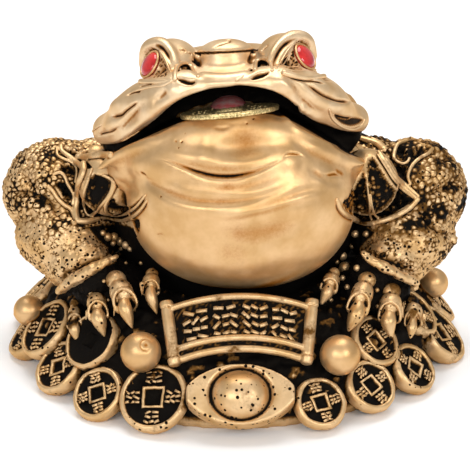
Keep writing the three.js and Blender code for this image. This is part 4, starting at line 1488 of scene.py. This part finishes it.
def scroll_panel():
    """The dark panel between the rollers with its rows of loose strokes."""
    form = bmesh.new()
    bmesh.ops.create_grid(form, x_segments=64, y_segments=24, size=0.5)
    bmesh.ops.scale(form, vec=(SCROLL_LENGTH, SCROLL_HEIGHT, 1), verts=form.verts)
    grown = bmesh.ops.extrude_face_region(form, geom=form.faces[:])["geom"]
    under = [item for item in grown if isinstance(item, bmesh.types.BMVert)]
    bmesh.ops.translate(form, vec=(0, 0, -SCROLL_THICKNESS), verts=under)
    bmesh.ops.recalc_face_normals(form, faces=form.faces)
    forms = [form]
    dice = np.random.default_rng(21)
    cell = SCROLL_LENGTH * 0.84 / SCROLL_MARKS
    size = (cell * 0.86, SCROLL_HEIGHT * 0.62, 0.95, 0.75, -MARK_SINK)
    for i in range(SCROLL_MARKS):
        middle = (i - (SCROLL_MARKS - 1) / 2) * cell
        for stroke in mark(dice, *size, rows=SCROLL_MARK_ROWS):
            bmesh.ops.subdivide_edges(stroke, edges=stroke.edges[:], cuts=1, use_grid_fill=True)
            forms.append(placed(stroke, Matrix.Translation((middle, 0.2, 0))))
    mesh = mesh_of(forms)
    heights = np.array([vert.co.z for vert in mesh.vertices])
    store(mesh, "stain_and_shade", 0.86 - 0.86 * soft_step(heights, 0.1, 0.35))
    for vert in mesh.vertices:
        x, y, z = vert.co
        rough = noise.noise(Vector((x * 1.6, y * 1.6, 3))) * 0.16
        vert.co = SCROLL_PLACE @ on_scroll((x, y, z + rough))
    return mesh


def scroll_edges():
    """The rounded borders along the panel and the rollers at its ends."""
    forms = []
    top, bottom = SCROLL_HEIGHT / 2 - 0.8, -SCROLL_HEIGHT / 2 + 2.6
    for y, z, radius in ((top, 0.35, 0.85), (bottom, 0.3, 0.85), (bottom - 2.6, -0.5, 0.95)):
        shares = np.linspace(-0.97, 0.97, 9)
        forms.append(limb([(*on_scroll((share * SCROLL_HALF, y, z)), radius) for share in shares]))
    lean = math.atan(SCROLL_TAPER * SCROLL_HALF / SCROLL_HEIGHT)
    half = SCROLL_HEIGHT / 2 + ROLLER_OVERHANG
    knob = ROLLER_RADIUS
    rod = knob * 0.92
    neck = rod * 0.72
    profile = [
        (0, -half), (knob * 0.6, -half), (knob * 0.85, -half + 0.3), (knob, -half + 1.5),
        (knob, -half + 1.9), (neck, -half + 2), (neck, -half + 2.25), (rod, -half + 2.4),
        (rod, half - 2.1), (neck, half - 1.95), (neck, half - 1.7), (knob, half - 1.6),
        (knob, half - 0.25), (knob * 0.85, half), (0, half),
    ]
    for side in (-1, 1):
        roller = placed(turned(profile, 24), Matrix.Rotation(-math.pi / 2, 4, "X"))
        roller = placed(roller, Matrix.Rotation(-side * lean, 4, "Z"))
        forms.append(placed(roller, Matrix.Translation((side * SCROLL_HALF, 0, 0.4))))
    mesh = mesh_of([placed(form, SCROLL_PLACE) for form in forms])
    return Clay(fused(mesh, 0.22)).soften(1)


# Ingot

INGOT_PLACE = on_heap(1.4, INGOT_INSET, 0)
INGOT_BLUNT = 0.87  # below 1 its ends stop short of a sharp point


def ingot():
    """A boat-shaped ingot: level deck, pointed ends, a dome in a ring-shaped groove."""
    half, side = INGOT_LENGTH / 2, INGOT_HEIGHT / 2
    bend = (half * half + side * side) / (2 * side)
    sweep = math.asin(half / bend)
    angles = np.linspace(-sweep, sweep, 24) * INGOT_BLUNT
    arc = [(bend * math.sin(a) / INGOT_BLUNT, bend * math.cos(a) + side - bend) for a in angles]
    boat = slab(arc + [(-x, -y) for x, y in arc], -2.6, INGOT_DECK)
    wide = INGOT_DOME_RADIUS
    dome = ball((0, 0, 1.2), (wide * 1.03, wide * 0.88, wide * 0.75), detail=48)
    piece = Clay(fused(mesh_of([boat, dome]), 0.34)).soften(5)
    x, y = piece.points[:, 0], piece.points[:, 1]
    deck = piece.normals[:, 2] > 0.3
    ring = np.hypot(x / (wide * 1.1), y / (wide * 0.97))
    groove = np.exp(-(((ring - 1) / 0.07) ** 2)) * deck
    piece.points[:, 2] -= groove * 1.1
    piece.darken(groove**2, 0.9)
    ends = soft_step(np.abs(x), half * 0.55, half)
    piece.points[:, 2] += ends * deck * 0.9
    piece.points = piece.points @ np.array(INGOT_PLACE.to_3x3()).T
    piece.points += np.array(INGOT_PLACE.translation)
    piece.points[:, 2] = piece.points[:, 2].clip(0)
    piece.pits[:] = 1.5
    piece.settle()
    return piece.soften(1)


# Loose coin and eye stones

MOUTH_COIN_PLACE = (
    Matrix.Translation((HEAD_MIDDLE, -25, 72.9))
    @ Matrix.Rotation(math.radians(-6), 4, "Y")
    @ Matrix.Rotation(-MOUTH_LEAN, 4, "X")
)

GRAIN_RINGS = 3
GRAINS_IN_RING = 24
BEZEL_RADIUS = 0.32
BEZEL_LIFT = 0.1
BEZEL_SIDES = 10


def mouth_coin():
    """A thin coin with a square hole and rings of fine grains round it."""
    half = MOUTH_COIN_THICKNESS / 2
    rim = MOUTH_COIN_RADIUS - MOUTH_COIN_RIM
    side = MOUTH_COIN_HOLE / 2
    face = half - 0.25
    outer = MOUTH_COIN_RADIUS
    profile = [
        (side, -half), (side + 0.8, -half), (side + 1, -face), (rim, -face),
        (rim + 0.25, -half), (outer - 0.15, -half), (outer, -half + 0.15), (outer, half - 0.15),
        (outer - 0.15, half), (rim + 0.25, half), (rim, face), (side + 1, face),
        (side + 0.8, half), (side, half),
    ]
    forms = [squared(turned(profile, 96, closed=True), side + 1.1, -half * 2)]
    for number in range(GRAIN_RINGS * GRAINS_IN_RING):
        ring = number // GRAINS_IN_RING
        angle = math.tau * number / GRAINS_IN_RING + ring * 0.13
        reach = 6.2 + 1.35 * ring
        spot = (math.cos(angle) * reach, math.sin(angle) * reach, face)
        forms.append(ball(spot, (0.3, 0.3, 0.16), detail=8))
    return mesh_of([placed(form, MOUTH_COIN_PLACE) for form in forms])


def eye_stone(side):
    """A red cabochon in its socket."""
    base = [(0, -EYE_STONE_DEPTH), (EYE_STONE_RADIUS, -EYE_STONE_DEPTH)]
    dome = [
        (EYE_STONE_RADIUS * math.cos(a), EYE_STONE_DOME * math.sin(a))
        for a in np.linspace(0, math.pi / 2, 9)[:-1]
    ]
    profile = [*base, *dome, (0, EYE_STONE_DOME)]
    return mesh_of([placed(turned(profile, 48), eye_place(side))])


def eye_rim(side):
    """The fine gold bezel round an eye stone."""
    ring = EYE_STONE_RADIUS + 0.25
    wire = [
        (ring - BEZEL_RADIUS * math.sin(a), BEZEL_LIFT + BEZEL_RADIUS * math.cos(a))
        for a in np.arange(BEZEL_SIDES) * math.tau / BEZEL_SIDES
    ]
    return mesh_of([placed(turned(wire, 48, closed=True), eye_place(side))])


# Finishes

FLOAT, VECTOR, COLOUR = "NodeSocketFloat", "NodeSocketVector", "NodeSocketColor"


def feed(tree, inputs, values):
    """Gives each named input its value, or links it to the socket that feeds it."""
    for name, value in values.items():
        if isinstance(value, bpy.types.NodeSocket):
            tree.links.new(value, inputs[name])
        else:
            inputs[name].default_value = value


def add(tree, kind, values, **settings):
    """Adds a shader node and gives back its outputs."""
    made = tree.nodes.new(kind)
    for name, value in settings.items():
        setattr(made, name, value)
    feed(tree, made.inputs, values)
    return made.outputs


def calculated(tree, operation, *values, **settings):
    node = add(tree, "ShaderNodeMath", dict(enumerate(values)), operation=operation, **settings)
    return node[0]


def ranged(tree, value, low=0, high=1, to_low=0, to_high=1, kind="LINEAR"):
    """A value brought from one range to another."""
    ends = {"From Min": low, "From Max": high, "To Min": to_low, "To Max": to_high}
    values = {"Value": value, **ends}
    return add(tree, "ShaderNodeMapRange", values, interpolation_type=kind)["Result"]


def mixed(tree, share, first, second):
    """A colour between two others."""
    values = {"Factor": share, "A": first, "B": second}
    return add(tree, "ShaderNodeMix", values, data_type="RGBA")["Result"]


def clouds(tree, position, scale, detail, roughness=0.5):
    values = {"Vector": position, "Scale": scale, "Detail": detail, "Roughness": roughness}
    return add(tree, "ShaderNodeTexNoise", values)["Fac"]


def ramp(tree, value, low, dark, high, light):
    """A colour that goes from dark at the low value to light at the high one."""
    made = tree.nodes.new("ShaderNodeValToRGB")
    for stop, position, colour in zip(made.color_ramp.elements, (low, high), (dark, light)):
        stop.position, stop.color = position, colour
    tree.links.new(value, made.inputs["Fac"])
    return made.outputs["Color"]


def bumped(tree, height, strength, distance=0.0001):
    values = {"Height": height, "Strength": strength, "Distance": distance}
    return add(tree, "ShaderNodeBump", values)["Normal"]


def new_group(name, inputs, outputs):
    """A node group, the inputs it is given and the outputs it has to feed."""
    group = bpy.data.node_groups.new(name, "ShaderNodeTree")
    for way, sockets in (("INPUT", inputs), ("OUTPUT", outputs)):
        for label, kind in sockets.items():
            group.interface.new_socket(label, in_out=way, socket_type=kind)
    given, result = group.nodes.new("NodeGroupInput"), group.nodes.new("NodeGroupOutput")
    return group, given.outputs, result.inputs


def pinholes():
    """Small round holes scattered over cast skin: a mask that is 1 in a hole."""
    group, given, result = new_group(
        "pinholes",
        {"Position": VECTOR, "Spacing": FLOAT, "Share": FLOAT, "Size": FLOAT},
        {"Holes": FLOAT},
    )
    cells = add(group, "ShaderNodeTexVoronoi", {
        "Vector": given["Position"], "Scale": given["Spacing"], "Randomness": 0.9,
    })
    dice = add(group, "ShaderNodeSeparateColor", {"Color": cells["Color"]})
    chosen = calculated(group, "LESS_THAN", dice["Red"], given["Share"])
    spread = ranged(group, dice["Green"], to_low=0.45)
    size = calculated(group, "MULTIPLY", given["Size"], spread)
    middle = calculated(group, "MULTIPLY", size, 0.55)
    inside = ranged(group, cells["Distance"], middle, size, 1, 0, "SMOOTHSTEP")
    feed(group, result, {"Holes": calculated(group, "MULTIPLY", inside, chosen)})
    return group


def antique_gold():
    """Gold paint rubbed over a near-black patina: the patina stays in the recesses. Its brown and
    black also paint in shade.
    """
    group, given, result = new_group(
        "antique_gold",
        {
            "Position": VECTOR, "Patina_and_shade": FLOAT, "Holes": FLOAT, "Grime": FLOAT, "Tarnish": FLOAT,
            "Gold": COLOUR, "Worn gold": COLOUR, "Brown": COLOUR, "Black": COLOUR,
        },
        {"Colour": COLOUR, "Metal": FLOAT, "Roughness": FLOAT, "Height": FLOAT},
    )
    grain = clouds(group, given["Position"], 1400, 4, 0.65)
    cloud = clouds(group, given["Position"], 160, 3, 0.55)
    tarnish = calculated(group, "MULTIPLY", ranged(group, cloud, 0.5, 0.75), given["Tarnish"])
    speck = calculated(group, "SUBTRACT", grain, 0.5)
    grime = calculated(group, "MULTIPLY_ADD", speck, given["Grime"], tarnish)
    depth = calculated(group, "ADD", given["Patina_and_shade"], grime, use_clamp=True)
    pitted = calculated(group, "MAXIMUM", depth, given["Holes"])
    wear = ranged(group, cloud, 0.35, 0.7)
    brownness = ranged(group, pitted, 0.08, 0.5, kind="SMOOTHSTEP")
    blackness = ranged(group, pitted, 0.34, 0.8, kind="SMOOTHSTEP")
    gold = mixed(group, wear, given["Gold"], given["Worn gold"])
    brown = mixed(group, brownness, gold, given["Brown"])
    rough = ranged(group, pitted, 0, 0.8, 0.34, 0.5)
    feed(group, result, {
        "Colour": mixed(group, blackness, brown, given["Black"]),
        "Metal": ranged(group, pitted, 0.05, 0.5, 0.8, 0.08),
        "Roughness": calculated(group, "ADD", calculated(group, "MULTIPLY", grain, 0.1), rough),
        "Height": calculated(group, "SUBTRACT", grain, given["Holes"]),
    })
    return group


PINHOLES, ANTIQUE_GOLD = pinholes(), antique_gold()


def new_material(name):
    """A material, its node tree and the inputs of its shader."""
    material = bpy.data.materials.new(name)
    material.use_nodes = True
    tree = material.node_tree
    tree.nodes.clear()
    shader = tree.nodes.new("ShaderNodeBsdfPrincipled")
    add(tree, "ShaderNodeOutputMaterial", {"Surface": shader.outputs["BSDF"]})
    return material, tree, shader.inputs


# Gold, worn gold and the brown of its shallow recesses, which also serves as painted shade in
# valleys and along the belly's lower edge
SKIN_TINTS = ((0.61, 0.365, 0.155, 1), (0.76, 0.5, 0.26, 1), (0.36, 0.125, 0.012, 1))
# A paler copy of the gold for the head and its ridges, painting in the stronger light from above on
# them
HEAD_PAINTED_LIGHT_TINTS = ((0.71, 0.48, 0.26, 1), (0.86, 0.65, 0.42, 1), (0.32, 0.13, 0.03, 1))
RELIEF_TINTS = ((0.6, 0.37, 0.16, 1), (0.82, 0.58, 0.33, 1), (0.2, 0.09, 0.02, 1))
PATINA_AND_SHADE_BLACK = (0.0045, 0.004, 0.0038, 1)
HOLE_SPACING = 780
HOLE_SIZE = 0.44
HOLE_SHARE = 0.4


def cast_gold(name, tints, grime, tarnish, relief):
    """Cast resin with an antique gold finish."""
    bright, worn, brown = tints
    material, tree, shader = new_material(name)
    position = add(tree, "ShaderNodeTexCoord", {})["Object"]
    # This attribute holds both the patina of the recesses and painted shade.
    patina_and_shade = add(tree, "ShaderNodeAttribute", {}, attribute_name="patina_and_shade")["Fac"]
    pits = add(tree, "ShaderNodeAttribute", {}, attribute_name="pits")["Fac"]
    holes = add(tree, "ShaderNodeGroup", {
        "Position": position, "Spacing": HOLE_SPACING, "Size": HOLE_SIZE,
        "Share": calculated(tree, "MULTIPLY", pits, HOLE_SHARE),
    }, node_tree=PINHOLES)["Holes"]
    gold = add(tree, "ShaderNodeGroup", {
        "Position": position, "Patina_and_shade": patina_and_shade, "Holes": holes, "Grime": grime,
        "Tarnish": tarnish, "Gold": bright, "Worn gold": worn, "Brown": brown,
        "Black": PATINA_AND_SHADE_BLACK,
    }, node_tree=ANTIQUE_GOLD)
    feed(tree, shader, {
        "Base Color": gold["Colour"],
        "Metallic": gold["Metal"],
        "Roughness": gold["Roughness"],
        "Normal": bumped(tree, gold["Height"], relief),
        "Specular IOR Level": 0.05,
        "Specular Tint": (1, 0.74, 0.45, 1),
    })
    return material


def loose_brass():
    """Thin brass, dark in its grain and bright where fingers rub it."""
    material, tree, shader = new_material("loose_brass")
    grain = clouds(tree, add(tree, "ShaderNodeTexCoord", {})["Object"], 1800, 5, 0.7)
    feed(tree, shader, {
        "Base Color": ramp(tree, grain, 0.4, (0.27, 0.19, 0.065, 1), 0.62, (0.95, 0.74, 0.36, 1)),
        "Metallic": 0.9,
        "Roughness": ranged(tree, grain, to_low=0.5, to_high=0.25),
        "Normal": bumped(tree, grain, 0.5, 0.00008),
    })
    return material


def red_gloss(name, deep, light, roughness, coat):
    """Cloudy opaque red, as of a glass stone or a glossy paint."""
    material, tree, shader = new_material(name)
    cloud = clouds(tree, add(tree, "ShaderNodeTexCoord", {})["Object"], 420, 3)
    feed(tree, shader, {
        "Base Color": ramp(tree, cloud, 0.35, deep, 0.68, light),
        "Roughness": roughness,
        "Normal": bumped(tree, cloud, 0.15),
        "Coat Weight": coat,
        "Coat Roughness": 0.08,
    })
    return material


# Patina and painted shade: how dark each vertex is, from its hollows, its creases and what stands
# over it.
# What stands over a vertex darkens it as painted shade. Fine patina is how strongly small creases
# and edges show.
FINE_PATINA = {
    "toad_throat": 0.9, "arm_right": 0.5, "arm_left": 1, "mound": 0.6,
    "toes_right": 2.4, "toes_left": 2.4,
}
FINE_PATINA_ELSEWHERE = 1.6
BROAD_PATINA = 0.55
SKY_RAYS = 9
SKY_REACH = 9
SKY_START = 0.15


def sky_directions():
    """Directions spread over the upper half of a ball, more of them near its top."""
    golden = math.pi * (3 - math.sqrt(5))
    for i in range(SKY_RAYS):
        height = math.sqrt(1 - (i + 0.5) / SKY_RAYS)
        around = math.sqrt(1 - height * height)
        yield Vector((math.cos(golden * i) * around, math.sin(golden * i) * around, height))


def shade_of(clay, tree):
    """Share of the sky that is hidden from each vertex."""
    rays = list(sky_directions())
    hidden = np.zeros(len(clay.points))
    for i, (point, normal) in enumerate(zip(clay.points, clay.normals)):
        start = Vector(point) + Vector(normal) * SKY_START
        turn = UP.rotation_difference(Vector(normal))
        near = 0
        for ray in rays:
            distance = tree.ray_cast(start, turn @ ray, SKY_REACH)[3]
            if distance is not None:
                near += 1 - 0.6 * distance / SKY_REACH
        hidden[i] = near / SKY_RAYS
    return hidden


def patina_and_shade_of(clay, tree, fine):
    """Dark in hollows and under overhangs, none on what a polishing cloth reaches: patina in the
    creases and hollows, painted shade where the sky is hidden.
    """
    near_height = ((clay.points - clay.softened(clay.points, 3)) * clay.normals).sum(1)
    wide_height = ((clay.points - clay.softened(clay.points, 24)) * clay.normals).sum(1)
    hidden = clay.softened(shade_of(clay, tree), 2)
    dark = soft_step(hidden, 0.3, 0.85) - near_height * fine * 3 - wide_height * BROAD_PATINA
    return np.clip(np.maximum(dark, clay.stain_and_shade), 0, 1)


def search_tree(meshes):
    """One search tree of the faces of many meshes."""
    points, faces = [], []
    for mesh in meshes:
        offset = len(points)
        points += [vert.co.copy() for vert in mesh.vertices]
        faces += [[offset + index for index in face.vertices] for face in mesh.polygons]
    return BVHTree.FromPolygons(points, faces)


def place(name, mesh, material, slot, node):
    """Brings a piece to metres and hangs it on the figure in place of a solid."""
    mesh.transform(Matrix.Scale(METRE, 4))
    mesh.polygons.foreach_set("use_smooth", [True] * len(mesh.polygons))
    mesh.materials.clear()
    mesh.materials.append(material)
    mesh.update()
    thing = linked(name, mesh)
    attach(thing, "root")
    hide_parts(node)


# The photo's camera, soft studio light and a pale floor

LIT_SPOT = Vector((0, 0, 0.04))
DAYLIGHT = 0.46
# Place, power, width and height, in metres and watts
SOFT_BOXES = {
    "key": ((-0.44, -0.7, 0.48), 2.3, 0.45, 0.4),
    "fill": ((0.5, -0.66, 0.5), 2.6, 0.45, 0.4),
    "front": ((0, -0.78, 0.38), 0.9, 0.2, 0.2),
    "top": ((0, 0.25, 0.8), 5, 0.8, 0.6),
}


def turned_to(direction):
    """How a lamp or a camera turns to look in a direction."""
    return direction.to_track_quat("-Z", "Y").to_euler()


def camera():
    data = bpy.data.cameras.new("photo_camera")
    data.sensor_width = SENSOR
    data.lens = SENSOR * FOCAL / PHOTO_SIDE
    data.clip_start = 0.01
    eye = linked("photo_camera", data)
    eye.location = EYE * METRE
    eye.rotation_euler = turned_to(FORWARD)
    bpy.context.scene.camera = eye


def soft_box(name, spot, power, width, height):
    data = bpy.data.lights.new(name, "AREA")
    data.shape = "ELLIPSE"
    data.size, data.size_y = width, height
    data.energy = power
    lamp = linked(name, data)
    lamp.location = spot
    lamp.rotation_euler = turned_to(LIT_SPOT - Vector(spot))


def studio():
    world = bpy.data.worlds.new("studio")
    world.use_nodes = True
    sky = {"Color": (1, 1, 1, 1), "Strength": DAYLIGHT}
    feed(world.node_tree, world.node_tree.nodes["Background"].inputs, sky)
    bpy.context.scene.world = world
    bpy.context.scene.view_settings.view_transform = "Standard"
    for name, values in SOFT_BOXES.items():
        soft_box(name, *values)
    floor = bmesh.new()
    bmesh.ops.create_grid(floor, x_segments=1, y_segments=1, size=3)
    mesh = mesh_of([floor])
    material, tree, shader = new_material("pale_floor")
    feed(tree, shader, {"Base Color": (0.95, 0.95, 0.95, 1), "Roughness": 0.9})
    mesh.materials.append(material)
    linked("floor", mesh)


# Tints, grime, tarnish and relief of each finish
FINISHES = {
    "cast_gold": (SKIN_TINTS, 0.22, 0.15, 0.25),
    "head_painted_light_gold": (HEAD_PAINTED_LIGHT_TINTS, 0.22, 0.15, 0.25),
    "rough_cast_gold": (RELIEF_TINTS, 0.55, 0.22, 0.6),
    "relief_cast_gold": (RELIEF_TINTS, 0.4, 0.35, 0.4),
    "grimy_cast_gold": (RELIEF_TINTS, 0.6, 0.5, 0.6),
}
# The tongue's reds are brightened beyond its paint, as painted light against the shade of the mouth
TONGUE_REDS = ((0.98, 0.16, 0.16, 1), (1, 0.6, 0.55, 1))
STONE_REDS = ((0.36, 0.004, 0.004, 1), (0.64, 0.022, 0.02, 1))
COIN_PITS = 0.3


def figure(skin, pale, rough, relief, grimy):
    """Name, clay and finish of each sculpted piece of the figure."""
    head, nape, throat, body = toad_head(), toad_nape(), toad_throat(), toad_body()
    arm_right = sculpted_arm(-1, RIGHT_ARM_GROOVES, RIGHT_SHADE, 0.14)
    arm_left = sculpted_arm(1, LEFT_ARM_GROOVES, LEFT_SHADE, 0.5, LEFT_ARM_LUMPS)
    palm_right, palm_left, heap = palm(-1, RIGHT_TOES), palm(1, LEFT_TOES), mound()
    right, left = [arm_right, throat, body], [arm_left, throat, body]
    fold_right, rims_right = frill(-1, right, RIGHT_FRILL_RIMS, RIGHT_FRILL_POCKETS, 0.66)
    fold_left, rims_left = frill(1, left, LEFT_FRILL_RIMS, LEFT_FRILL_POCKETS, 0.48)
    right_string = beads([palm_right, arm_right, body, heap], RIGHT_BEADS)
    left_string = beads([palm_left, arm_left, body, heap], LEFT_BEADS)
    return [
        # The head and its ridges take the paler gold that paints in the light on them
        ("toad_head", head, pale),
        ("face_ridges", face_ridges(head, nape), pale),
        ("toad_nape", nape, skin),
        ("toad_throat", throat, skin),
        ("toad_body", body, rough),
        ("arm_right", arm_right, rough),
        ("arm_left", arm_left, rough),
        ("fold_right", fold_right, rough),
        ("fold_left", fold_left, rough),
        ("frill_right", rims_right, grimy),
        ("frill_left", rims_left, grimy),
        ("palm_right", palm_right, rough),
        ("palm_left", palm_left, rough),
        ("toes_right", foretoes(RIGHT_TOES, RIGHT_FLAPS), grimy),
        ("toes_left", foretoes(LEFT_TOES, LEFT_FLAPS), grimy),
        ("beads", Clay(mesh_of(right_string + left_string)), relief),
        ("cuff_right", cuff(RIGHT_CUFF), rough),
        ("cuff_left", cuff(LEFT_CUFF), rough),
        ("hind_foot", hind_foot(), grimy),
        ("mound", heap, rough),
        ("ingot", ingot(), relief),
        ("scroll_edges", scroll_edges(), grimy),
        ("pearls", pearls(), skin),
    ]


def shade_and_patinate_relief(mesh, everything, rubbed):
    """Patina, painted shade where the sky is hidden, and pits of a coin or of the scroll's panel. A
    rubbed one loses specks.
    """
    clay = Clay(mesh)
    stain_and_shade = np.empty(len(mesh.vertices), np.float32)
    mesh.attributes["stain_and_shade"].data.foreach_get("value", stain_and_shade)
    clay.stain_and_shade = stain_and_shade.astype(float)
    if rubbed:
        clay.worn(0.45, 0.45)
    hidden = shade_of(clay, everything)
    store(mesh, "patina_and_shade", np.maximum(clay.stain_and_shade, soft_step(hidden, 0.3, 0.9) * 0.9))
    store(mesh, "pits", np.full(len(mesh.vertices), COIN_PITS))


def main():
    camera()
    skin, pale, rough, relief, grimy = (cast_gold(name, *made) for name, made in FINISHES.items())
    sculpted, coins, panel = figure(skin, pale, rough, relief, grimy), heap_coins(), scroll_panel()
    everything = search_tree([clay.mesh for _, clay, _ in sculpted] + coins + [panel])
    for name, clay, finish in sculpted:
        fine = FINE_PATINA.get(name, FINE_PATINA_ELSEWHERE)
        store(clay.mesh, "patina_and_shade", patina_and_shade_of(clay, everything, fine))
        store(clay.mesh, "pits", clay.pits)
        place(name, clay.mesh, finish, "figure", "toad_figure")
    for number, mesh in enumerate(coins):
        shade_and_patinate_relief(mesh, everything, rubbed=False)
        place(f"heap_coin_{number + 1:02d}", mesh, grimy, "figure", "toad_figure")
    shade_and_patinate_relief(panel, everything, rubbed=True)
    place("scroll_panel", panel, relief, "figure", "toad_figure")

    paint = red_gloss("tongue_paint", *TONGUE_REDS, roughness=0.35, coat=0.3)
    place("tongue", tongue(), paint, "figure", "toad_figure")
    place("loose_coin", mouth_coin(), loose_brass(), "coin", "mouth_coin")
    stone = red_gloss("red_stone", *STONE_REDS, roughness=0.12, coat=0.45)
    for side, name in ((-1, "right"), (1, "left")):
        place(f"eye_{name}", eye_stone(side), stone, "eye_stones", f"eye_stone_{name}")
        rim = eye_rim(side)
        for value in ("patina_and_shade", "pits"):
            store(rim, value, np.zeros(len(rim.vertices)))
        place(f"eye_rim_{name}", rim, skin, "figure", "toad_figure")
    studio()


main()
